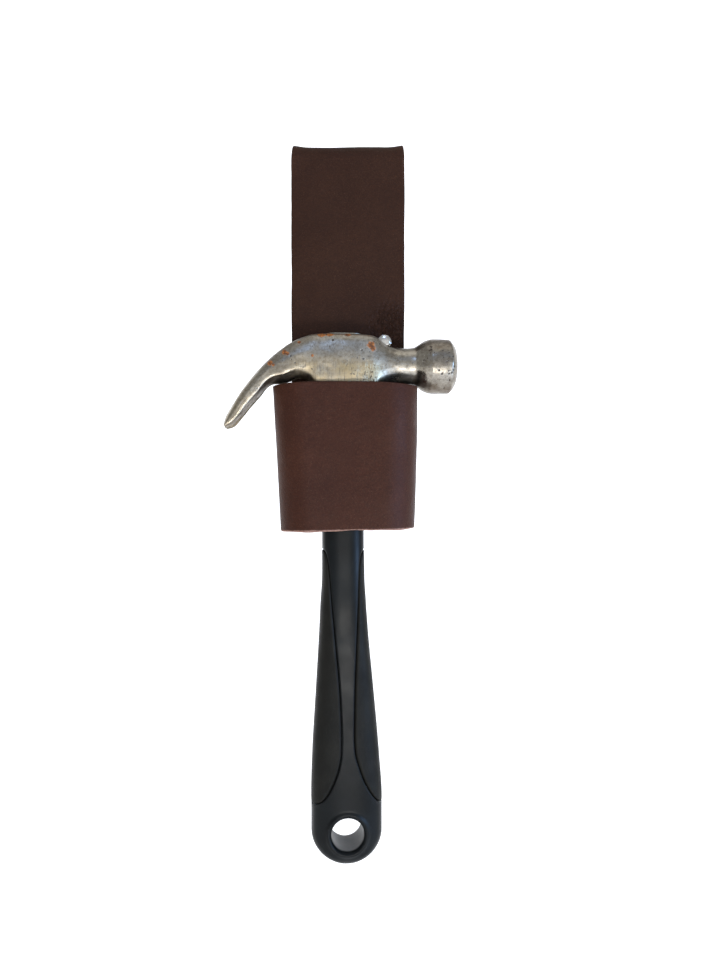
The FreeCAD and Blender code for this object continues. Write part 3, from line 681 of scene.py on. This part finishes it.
def parting(x):
    """How far the middle edge stands off the centre: the claws' slot, or the stadium eye."""
    slot = np.where(x < SLOT_ROOT, 1 + SLOT_SPREAD * (SLOT_ROOT - x), 0)
    root = np.sqrt(np.clip(1 - (x - SLOT_ROOT) ** 2, 0, 1)) * (x >= SLOT_ROOT)
    past_flat = np.clip(np.abs(x) - (EYE_HALF_LENGTH - EYE_HALF_WIDTH), 0, None)
    eye = np.sqrt(np.clip(EYE_HALF_WIDTH**2 - past_flat**2, 0, None))
    return slot + root + eye


def head_rows(spacing=0.5):
    """Sections at even steps along the head, read off smooth lines through the chosen ones."""
    middle = (HEAD[:, 0:2] + HEAD[:, 2:4]) / 2
    along = np.r_[0, np.cumsum(np.linalg.norm(np.diff(middle, axis=0), axis=1) + 0.15)]
    along += np.r_[0, np.cumsum(np.abs(np.diff(HEAD[:, 1] - HEAD[:, 3])) / 4)]
    rows = np.linspace(0, along[-1], int(along[-1] / spacing))
    return through(along, HEAD, rows)


def head_half():
    """Half sections: out over the back, down the cheek, in underneath, and up the middle wall."""
    back_x, back_z, under_x, under_z, wide, square = (c[:, None] for c in head_rows().T)
    out, up = oval(np.linspace(0, math.pi, 84)[None, :], square)
    outer = up.shape[1]
    x_middle = (back_x + under_x) / 2
    claw = ease(14, 26, -x_middle)
    boxy = ease(2.2, 4.5, square)
    shoulder = 1 - (0.11 + 0.08 * claw) * boxy * np.clip((up - 0.12) / 0.7, 0, 1) ** 1.4
    bevel = 1 - 0.40 * ease(24, 32, -x_middle) * np.clip((-0.6 - up) / 0.4, 0, 1)
    cheek = 1 - 0.03 * boxy * ease(-0.1, 0.9, -up) * (1 - claw)
    across = wide * out * shoulder * bevel * cheek
    apart = parting(x_middle)
    inner = np.minimum(apart, wide * WALL_LIMIT)
    wall = np.linspace(-1, 1, 12)[None, 1:-1]
    up = np.hstack([up, wall + 0 * wide])
    across = np.hstack([np.maximum(across, inner), inner + 0 * wall])
    x = x_middle + up * (back_x - under_x) / 2
    z = (back_z + under_z) / 2 + up * (back_z - under_z) / 2
    return np.stack([x, across, z], -1), apart[:, 0] > 1e-6, outer


def capped(points):
    """Adds a first row drawn in to the section's own middle, which closes the claw's tip."""
    middle = points[:1].mean(axis=1, keepdims=True)
    near = points[:1] + (middle - points[:1]) * 0.35 + (-0.25, 0, -0.15)
    return np.concatenate([np.repeat(middle + (-0.3, 0, -0.2), points.shape[1], 1), near, points])


half, open_rows, outer = head_half()
half = capped(half)
open_rows = np.r_[True, True, open_rows]
points, kept_faces = joined([half, half * (1, -1, 1)], open_rows, outer)
head = shell("hammer_head_forged", from_hammer(points), kept_faces)

# %% [markdown]
# The forging is not perfect: it has slow hollows from the hammer die, and pits where rust has
# eaten in, thickest on the poll. They are pushed into the mesh, so that they show in profile.
# The places of the rust stains are listed, and painted on the points for the finish.

# %% Pits, hollows and rust
spots = in_hammer(places(head))
x, y, z = spots.T
rng = np.random.default_rng(21)
pit_x = np.r_[rng.normal(56, 2.4, 34), rng.normal(47, 2.5, 16), rng.uniform(-30, 40, 22)]
pit_z = np.r_[rng.normal(-3, 7, 34), rng.normal(6, 4, 16), rng.uniform(-9, 14, 22)]
pit_side = np.where(rng.random(len(pit_x)) < 0.7, -1, 1)
pit_size = rng.uniform(0.25, 0.55, len(pit_x))
gap = np.hypot(x[:, None] - pit_x, z[:, None] - pit_z)
pits = (np.exp(-((gap / pit_size) ** 2)) * (np.sign(y)[:, None] == pit_side)).max(1)
outer_skin = ease(5, 9, np.abs(y))
hollow = 0.10 * ripple(spots, 13, 5) + 0.03 * ripple(spots, 4, 6)
near_rim = np.exp(-(((z + 11) / 2.5) ** 2))
push_out(head, (hollow - 0.07 * pits * outer_skin) * (1 - near_rim))
# x, z and radius of each rust stain on the near cheek
RUST = [(14.6, 10.0, 2.9), (15.8, 8.0, 2.2), (-32.6, 5.6, 2.0), (-31.0, 4.6, 1.5),
        (-40.4, -0.6, 2.0), (-38.6, -1.6, 1.2), (-17.6, 3.6, 1.1), (-12.5, 15.4, 1.9),
        (-8.0, 15.8, 1.6), (-24.6, 11.0, 1.3), (2.0, 15.8, 1.2)]
stain = np.max([np.exp(-((np.hypot(x - at_x, z - at_z) / size) ** 2)) for at_x, at_z, size in RUST],
               axis=0)
stain = stain * (y < 2) + 0.55 * np.exp(-(((z - 15.6) / 0.7) ** 2))
far_side = 0.8 * ease(1.0, 2.0, ripple(spots, 11, 30)) * (y > 2)
paint(head, "rust", stain + far_side)
paint(head, "pitted", np.clip(2.2 * pits, 0, 1) * outer_skin)
lower_cheek = ease(-5, 3, -z) * ease(-34, -22, x) * ease(-26, -16, -x)
paint(head, "patina", lower_cheek + 0.35 * ease(40, 60, -x))
# Painted shade, with some grime on the poll: surfaces that face down on the claws, and up or down on
# the neck and poll, are painted darker.
upright = read(head, "normal")[:, 2]
shade_under = ease(0.25, 0.6, -upright) * ease(23, 29, -x)
poll_grime_and_shade = ease(0.45, 0.9, np.abs(upright)) + 0.5 * ease(0.2, 1.4, ripple(spots, 9, 12))
top_shade = 0.5 * ease(0.40, 0.85, upright) * ease(-24, -12, -x)
grime_and_shade = shade_under + 0.6 * poll_grime_and_shade * ease(20, 44, x) + top_shade + 0.35 * ease(42, 50, x)
paint(head, "grime_and_shade", grime_and_shade)
paint(head, "worn", ease(20, 30, x) + 0.5 * ease(24, 40, -x))
print(len(pit_x), "pits and", len(RUST), "rust stains")

# %% [markdown]
# Bare steel's colour is that of its reflection. Haze, warm patina, grime and painted shade, and fine
# upright scratches change it, while rust isn't metal at all.

# %% Steel finish


def forged_steel():
    """Bare steel: cool where it is rubbed bright, warm with patina, scratched, pitted, rusted."""
    steel = Finish("forged_steel", (186, 182, 172))
    steel.tint(steel.clouds(55, 6, 0.3, 0.72, rough=0.6), (150, 143, 130))
    steel.tint(steel.clouds(620, 5, 0.44, 0.66, 0, 0.7, rough=0.8), (108, 97, 82))
    warm = steel.times(steel.painted("patina"), steel.clouds(90, 5, 0.2, 0.62))
    steel.tint(steel.times(warm, 0.85), (176, 158, 122))
    scratch = steel.noise(1, 6, 0.7, steel.stretched((1500, 700, 90)))
    scratched = steel.times(steel.between(scratch, 0.52, 0.68), steel.painted("patina"))
    steel.tint(steel.times(scratched, 0.8), (78, 64, 46))
    tall = steel.noise(1, 3, 0.6, steel.stretched((1500, 1500, 620)))
    speck = steel.times(steel.between(tall, 0.60, 0.67), steel.clouds(95, 5, 0.46, 0.60))
    pit = steel.sum(steel.painted("pitted"), steel.times(steel.noise(900, 2), 0.8))
    speck = steel.sum(speck, steel.between(pit, 0.85, 1.05), "MAXIMUM")
    steel.tint(steel.times(speck, 0.82), (44, 35, 27))
    # Painted shade and grime: the grime mask darkens the surfaces that face down or up.
    smoky_grime_and_shade = steel.times(steel.painted("grime_and_shade"), steel.clouds(240, 5, 0.1, 0.6))
    steel.tint(steel.times(smoky_grime_and_shade, 0.8), (82, 66, 50))
    edge = steel.sum(steel.painted("rust"), steel.times(steel.noise(620, 5, 0.7), 0.5))
    rust = steel.between(edge, 0.70, 1.0)
    crust = steel.clouds(640, 4, 0.40, 0.60)
    crust = steel.blend(crust, shade(178, 108, 46), shade(92, 54, 28))
    steel.colour = steel.blend(rust, steel.colour, crust)
    not_metal = steel.sum(rust, steel.times(speck, 0.5), "MAXIMUM")
    steel.roughness = steel.clouds(130, 5, 0.3, 0.75, 0.30, 0.44)
    steel.duller(steel.times(steel.painted("worn"), -0.08))
    steel.duller(steel.times(not_metal, 0.4))
    steel.duller(steel.times(smoky_grime_and_shade, 0.12))
    steel.bump(steel.times(scratched, -1.0), 0.00012, 0.5)
    steel.bump(steel.noise(1500, 4), 0.00005, 0.5)
    steel.bump(steel.sum(steel.times(speck, -1.0), steel.times(rust, 0.4)), 0.0002, 0.6)
    return steel.done(Metallic=steel.between(not_metal, 0, 1, 1, 0))


dress(head, forged_steel(), "hammer", "forged_steel", "hammer_head")

# %% [markdown]
# ## The handle's outline
# The hard jacket and the two soft panels share one outline, so it is worked out once. At each
# height it has a half width, a half thickness and a centre, and its section is a square-ended
# oval. The butt is a half circle round the hang hole. The groove between spine and panel
# is a smooth line down the front, given as its distance from the middle.

# %% The handle's shape
SQUARE = 2.9
BUTT_END = -275.4
HOLE_RADIUS = hole["dims"]["r_mm"]
BUTT_CENTRE = in_hammer(np.array(hole["pos_m"]) / MM)[2]
BUTT_DROP = BUTT_CENTRE - BUTT_END
BUTT_ROLL = 7.0
PANEL_TOP, PANEL_FOOT = -102.0, -242.5
# height, half width, half thickness, centre
GRIP = np.array([
    (-16.5, 12.8, 10.0, 0.0), (-22.0, 12.7, 10.0, 0.0), (-32.0, 11.7, 10.0, 0.0),
    (-94.0, 11.6, 10.0, -0.1), (-117.0, 11.7, 10.2, 0.1), (-131.0, 12.5, 10.6, 0.1),
    (-148.0, 13.5, 10.9, 0.3), (-181.0, 16.0, 11.4, 0.9), (-215.0, 18.5, 11.9, 1.4),
    (-240.0, 19.6, 12.0, 1.9), (-278.0, 19.6, 12.0, 2.0),
])
# height, and how far left and right of the centre line the two grooves are
GROOVE = np.array([
    (-102.0, -11.8, 11.7), (-103.4, -10.4, 10.6), (-106.0, -9.5, 9.4), (-110.0, -8.7, 8.9),
    (-135.0, -6.4, 7.7), (-157.0, -4.3, 6.7), (-179.0, -2.3, 5.8), (-205.0, -1.2, 5.4),
    (-213.0, -1.3, 5.9), (-221.0, -2.6, 8.0), (-229.0, -5.4, 11.0), (-236.0, -9.0, 15.0),
    (-240.0, -12.4, 18.2), (-242.5, -17.4, 21.4),
])


def outline_at(z):
    """Half width, half thickness and centre at each height, drawn in over the round butt."""
    half, thick, centre = through(-GRIP[:, 0], GRIP[:, 1:], -z).T
    below = np.clip((BUTT_CENTRE - z) / BUTT_DROP, 0, 1)
    half = half * np.sqrt(1 - below**2)
    from_end = np.clip(z - BUTT_END, 0, BUTT_ROLL)
    thick = thick - BUTT_ROLL + np.sqrt(BUTT_ROLL**2 - (BUTT_ROLL - from_end) ** 2)
    return half, thick, centre


def groove_share(z, side):
    """The groove's distance from the centre, as a share of the half width, kept on the front."""
    half, _, centre = outline_at(np.clip(z, PANEL_FOOT, PANEL_TOP))
    x = through(-GROOVE[:, 0], GROOVE[:, 1:], -z)[:, 0 if side < 0 else 1]
    return np.clip(side * (x - centre) / half, 0.05, 0.985)


def ray_at(share):
    """The ray's angle from the front at which the oval section is that share of its half width."""
    share = np.clip(share, 1e-6, 0.9999)
    return np.arctan((share ** -SQUARE - 1) ** (-1 / SQUARE))


def section(half, thick, ray):
    """The oval stretched to the half width and half thickness, with its front at -y."""
    out, forward = oval(ray, SQUARE)
    return half * out, -thick * forward


print("from the hole's centre to the end", round(float(BUTT_DROP), 2), "hole", HOLE_RADIUS)

# %% [markdown]
# ## The hard jacket
# Each half of the jacket goes from the middle of the front, round the side, to the middle of
# the back. Rows near the hang hole are parted in the middle, like the lips of a buttonhole,
# and a wall joins front to back. Under the soft panels the surface is sunk, with its columns
# lined up on the groove so that the step is clean.

# %% The jacket's surface
SINK = 1.7               # how deep the bed of the soft panels lies
LEDGE = 0.15             # half the height of the step at the bed's ends


def jacket_rows():
    """Heights: even down the handle, doubled at the panels' ends, and by angle round the butt."""
    neck = np.linspace(GRIP[0, 0], PANEL_TOP + LEDGE, 62)
    ends = np.linspace(0, math.pi, 120)
    middle, reach = (PANEL_TOP + PANEL_FOOT) / 2, (PANEL_TOP - PANEL_FOOT) / 2 - LEDGE
    grip = middle + reach * np.cos(ends)
    hole_top = BUTT_CENTRE + HOLE_RADIUS
    above = np.linspace(PANEL_FOOT - LEDGE, hole_top, 9)[:-1]
    turn_down = np.linspace(0, math.pi, 44)
    beside = BUTT_CENTRE + HOLE_RADIUS * np.cos(turn_down)
    rest = np.linspace(0, 1, 30)[1:]
    below = beside[-1] - (beside[-1] - BUTT_END) * np.sin(rest * math.pi / 2)
    return np.r_[neck, grip, above, beside, below]


def lip(from_hole):
    """The moulded ring round the hang hole: a low swelling that rolls over into the hole."""
    swelling = 0.75 * np.exp(-(((from_hole - 1.9) / 1.25) ** 2))
    return swelling - 1.1 * np.clip(1 - from_hole / 1.1, 0, 1) ** 2


def jacket_half(side):
    """Rays from front to back on the oval, sunk between the grooves. Beside the hang hole the
    half is squeezed outwards, so that its middle edge follows the hole's circle."""
    z = jacket_rows()
    half, thick, centre = (v[:, None] for v in outline_at(z))
    edge = groove_share(z, side)[:, None]
    spread = (np.linspace(0, 1, 40) ** 1.3)[None, :]
    front = ray_at(edge * spread)
    at_groove = ray_at(edge)
    floor = at_groove + (math.pi - 2 * at_groove) * np.linspace(0, 1, 34)[None, :]
    ray = np.hstack([front, floor, (math.pi - front)[:, ::-1]])
    sunk = ((z < PANEL_TOP) & (z > PANEL_FOOT))[:, None]
    soft_edge = 0.42 * np.clip((spread * edge - edge) * half / 0.8 + 1, 0, 1) ** 2
    drop = np.hstack([soft_edge, np.full_like(floor, SINK), soft_edge[:, ::-1]]) * sunk
    out, y = section(half - drop, thick - drop, ray)
    apart = np.sqrt(np.clip(HOLE_RADIUS**2 - (z - BUTT_CENTRE) ** 2, 0, None))[:, None]
    out = apart + out * (half - apart) / half.clip(1e-6)
    share = np.clip(out / half.clip(1e-6), 0, 1)
    on_oval = thick * np.clip(1 - share**SQUARE, 0, 1) ** (1 / SQUARE)
    y = np.where(apart > 0, np.sign(y) * on_oval, y)
    from_hole = np.hypot(out, z[:, None] - BUTT_CENTRE) - HOLE_RADIUS
    face = np.abs(y) > 0.55 * thick
    y = y + np.sign(y) * lip(from_hole.clip(0)) * face * ease(0, 7, half - 4.0)
    wall = np.linspace(0, 1, 14)[None, 1:-1]
    y_wall = y[:, -1:] + (y[:, :1] - y[:, -1:]) * wall
    y, out = np.hstack([y, y_wall]), np.hstack([out, apart + 0 * wall])
    points = np.stack([centre + side * out, y, z[:, None] + 0 * y], -1)
    in_hole = np.abs(z - BUTT_CENTRE) < HOLE_RADIUS - 1e-6
    return points, in_hole, ray.shape[1]


def closed_top(points):
    """Adds two rows at the top, drawn in to the middle, so that the jacket is a closed solid."""
    middle = points[:1] * (0, 0, 1)
    return np.concatenate([middle, points[:1] * (0.93, 0.93, 1), points])


(right, in_hole, outer), (left, _, _) = jacket_half(1), jacket_half(-1)
in_hole = np.r_[False, False, in_hole]
points, kept_faces = joined([closed_top(right), closed_top(left)], in_hole, outer)
jacket = shell("handle_jacket_moulded", from_hammer(points), kept_faces)

# %% [markdown]
# Moulded plastic is nearly black all through. What the eye reads is the mould's fine grain, with
# dust rubbed into it and a few pale nicks. The soft panels are a duller, coarser version of it.

# %% Plastic finish


def moulded(name, colour, scuffed, low_dull, high_dull, grain_scale, grain_depth):
    """Moulded plastic or rubber: near black, with a fine grain, dusty rubs and small nicks."""
    skin = Finish(name, colour, specular=0.14)
    skin.tint(skin.clouds(45, 5, 0.38, 0.72, rough=0.6), scuffed)
    nick = skin.times(skin.between(skin.cells(300), 0.05, 0.02), skin.clouds(230, 1, 0.62, 0.66))
    skin.tint(skin.times(nick, 0.6), (150, 152, 150))
    skin.bump(skin.cells(grain_scale, "SMOOTH_F1"), grain_depth, 0.6)
    skin.bump(skin.noise(110, 3), 0.0002, 0.35)
    skin.roughness = skin.clouds(70, 4, 0.3, 0.7, low_dull, high_dull)
    return skin.done()


hard_plastic = moulded("hard_plastic", (7, 10, 11), (16, 20, 22), 0.30, 0.42, 1900, 3e-5)
dress(jacket, hard_plastic, "hammer", "hard_plastic", "handle_jacket")

# %% [markdown]
# ## The soft panels
# Each panel is a thin closed shell wrapped round one side of the grip, from groove to groove.
# Its face stands a hair proud of the jacket, and rolls down at every edge, which leaves the
# dark line of the groove. Top and bottom it narrows and rolls down in the same way.

# %% The panels' surfaces
PROUD = 0.10             # the face stands this far out of the jacket
BACKED = SINK - 0.05     # and the panel reaches this deep into its bed
ROLL = 0.9               # radius of the rolled edges
SEAM = 0.32              # gap left open in the groove


def rolled(from_edge):
    """Height across a rolled edge: a quarter circle, then level."""
    return np.sqrt(1 - (1 - np.clip(from_edge / ROLL, 0, 1)) ** 2)


def panel_rows(count=150):
    """Heights by the cosine of even angles, so closer at the ends, with two more in each last
    gap, where the edge rolls over."""
    top, foot = PANEL_TOP - LEDGE - SEAM, PANEL_FOOT + LEDGE + SEAM
    z = (top + foot) / 2 + (top - foot) / 2 * np.cos(np.linspace(0, math.pi, count))
    thirds = np.array([1, 2]) / 3
    at = np.r_[0, thirds, np.arange(1, count - 1), count - 2 + thirds, count - 1]
    return np.interp(at, np.arange(count), z)


def panel_surface(side):
    """Rays from just past the groove round to the back, drawn in from the outline by the rolled
    height of the nearest edge, then back along the bed. A pole closes each end."""
    z = panel_rows()
    half, thick, centre = (v[:, None] for v in outline_at(z))
    edge = np.clip(groove_share(z, side)[:, None] + SEAM / half, 0, 0.992)
    first = ray_at(edge)
    inward = np.r_[0, np.cumsum([0.13] * 7 + [0.4] * 2)]
    rim = len(inward)
    shares = np.minimum(edge + inward[None, :] / half, 0.993 + 0.0006 * np.arange(rim)[None, :])
    start = ray_at(shares)
    middle = start[:, -1:] + (math.pi - 2 * start[:, -1:]) * np.linspace(0, 1, 40)[None, 1:-1]
    ray = np.hstack([start, middle, (math.pi - start)[:, ::-1]])
    travelled = np.abs(ray - first) * half * 0.7
    travelled = np.minimum(travelled, travelled[:, ::-1])
    in_from_end = np.minimum(z[0] - z, z - z[-1])[:, None]
    across_edge = np.hstack([np.minimum(inward, travelled[:, :rim]), travelled[:, rim:-rim],
                             np.minimum(inward[::-1], travelled[:, -rim:])])
    height = rolled(across_edge) * rolled(in_from_end)
    drop = BACKED - (BACKED + PROUD) * height
    out, y = section(half - drop, thick - drop, ray)
    inner_ray = ray[:, ::-1][:, 1:-1:3]
    inner_out, inner_y = section(half - BACKED - 0.02, thick - BACKED - 0.02, inner_ray)
    out, y = np.hstack([out, inner_out]), np.hstack([y, inner_y])
    points = np.stack([centre + side * out, y, z[:, None] + 0 * y], -1)
    poles = np.repeat(points.mean(axis=1, keepdims=True), points.shape[1], 1)
    return np.concatenate([poles[:1], points, poles[-1:]])


soft_grip = moulded("soft_grip", (14, 14, 11), (26, 25, 21), 0.46, 0.60, 1300, 9e-5)
for side, node in ((-1, "grip_panel_claw_side"), (1, "grip_panel_face_side")):
    panel = shell(node + "_soft", from_hammer(panel_surface(side)))
    dress(panel, soft_grip, "hammer", "soft_grip", node)

# %% [markdown]
# ## What shows in the eye
# Looking down on the head, the fibreglass core and the ring of epoxy round it are seen
# end-on. Their shapes in the model are already right, so they only get their finishes.

# %% Core and epoxy


def fibreglass():
    """Pale strands that run up the core."""
    glass = Finish("fibreglass_core", (206, 190, 140), roughness=0.45)
    strands = glass.noise(1, 5, 0.7, glass.stretched((1800, 1800, 60)))
    glass.tint(glass.between(strands, 0.35, 0.65), (150, 130, 84))
    glass.bump(strands, 0.0001, 0.5)
    return glass.done()


def epoxy():
    """Dark, glossy and a little cloudy."""
    resin = Finish("eye_epoxy", (30, 30, 31))
    resin.tint(resin.clouds(300, 4, 0.3, 0.7), (52, 52, 54))
    resin.roughness = resin.clouds(160, 3, 0.3, 0.7, 0.16, 0.32)
    resin.bump(resin.noise(220, 2), 0.0002, 0.5)
    return resin.done()


for node, material in (("handle_core", fibreglass()), ("eye_bond", epoxy())):
    frame["nodes"][node].data.materials.clear()
    frame["nodes"][node].data.materials.append(material)
    print(node, "keeps its shape, with", material.name)

# %% [markdown]
# ## Studio
# The object hangs in front of a pale sweep: a floor that curves up into a wall. It glows a
# little, like a light box, so that it stays white behind dark leather. A small lamp stands
# low in front, a wide one fills from the camera's side, and a warm one hangs overhead. Cool
# light comes from the right, as from a window, and from a small lamp high in front.

# %% Sweep and lights


def sweep():
    """A line that runs along the floor, turns up in a quarter circle and climbs, widened in x."""
    floor_z, wall_y, bend = -430.0, 900.0, 300.0
    bent = np.linspace(0, math.pi / 2, 24)
    corner = np.stack([wall_y - bend + bend * np.sin(bent), floor_z + bend * (1 - np.cos(bent))], -1)
    line = np.vstack([[-2600, floor_z], corner, [wall_y, 850]])
    x = np.array([-3000.0, 3000.0])[None, :]
    y, z = line[:, :1], line[:, 1:]
    paper = shell("studio_sweep", np.stack([x + 0 * y, y + 0 * x, z + 0 * x], -1), wrap=False)
    stage = Finish("studio_paper", (250, 250, 250), roughness=0.9, specular=0.1)
    stage.tint(stage.noise(3, 2), (246, 246, 246))
    stage.shader.inputs["Emission Strength"].default_value = 0.72
    paper.data.materials.append(stage.done(Emission_Color=stage.colour))


def soft_light(name, place, size, watts, colour):
    """A square lamp at place, in metres, that faces the middle of the object."""
    lamp = bpy.data.lights.new(name, "AREA")
    lamp.shape, lamp.size, lamp.energy, lamp.color = "SQUARE", size, watts, colour
    holder = bpy.data.objects.new(name, lamp)
    holder.location = place
    aim = Vector((0, -0.02, -0.12)) - Vector(place)
    holder.rotation_euler = aim.to_track_quat("-Z", "Y").to_euler()
    bpy.context.scene.collection.objects.link(holder)


sweep()
soft_light("low_front", (0.12, -0.76, -0.38), 0.07, 1.5, (1.0, 0.97, 0.92))
soft_light("front_fill", (0.25, -1.4, -0.10), 1.1, 1.3, (1.0, 0.98, 0.95))
soft_light("window_right", (0.90, -0.62, -0.20), 0.5, 8.0, (0.34, 0.58, 1.0))
soft_light("sky_strip", (0.0, -1.0, 0.72), 0.20, 1.2, (0.36, 0.56, 1.0))
soft_light("overhead", (0.1, -0.15, 1.2), 1.0, 2.2, (1.0, 0.96, 0.90))

# %% [markdown]
# An even white room fills the shadows. The camera stands half a metre off and looks straight
# on, level with the sleeve, through a lens a little wide of normal.

# %% Room and camera
scene = bpy.context.scene
scene.world = bpy.data.worlds.new("soft_room")
scene.world.use_nodes = True
room = scene.world.node_tree.nodes["Background"].inputs
room["Color"].default_value = (1, 1, 1, 1)
room["Strength"].default_value = 0.40
scene.view_settings.view_transform = "Standard"

lens = bpy.data.cameras.new("front_camera")
lens.lens = 31.875
camera = bpy.data.objects.new("front_camera", lens)
camera.location = (0.007, -0.5, -0.1392)
camera.rotation_euler = (math.pi / 2, 0, 0)
scene.collection.objects.link(camera)
scene.camera = camera
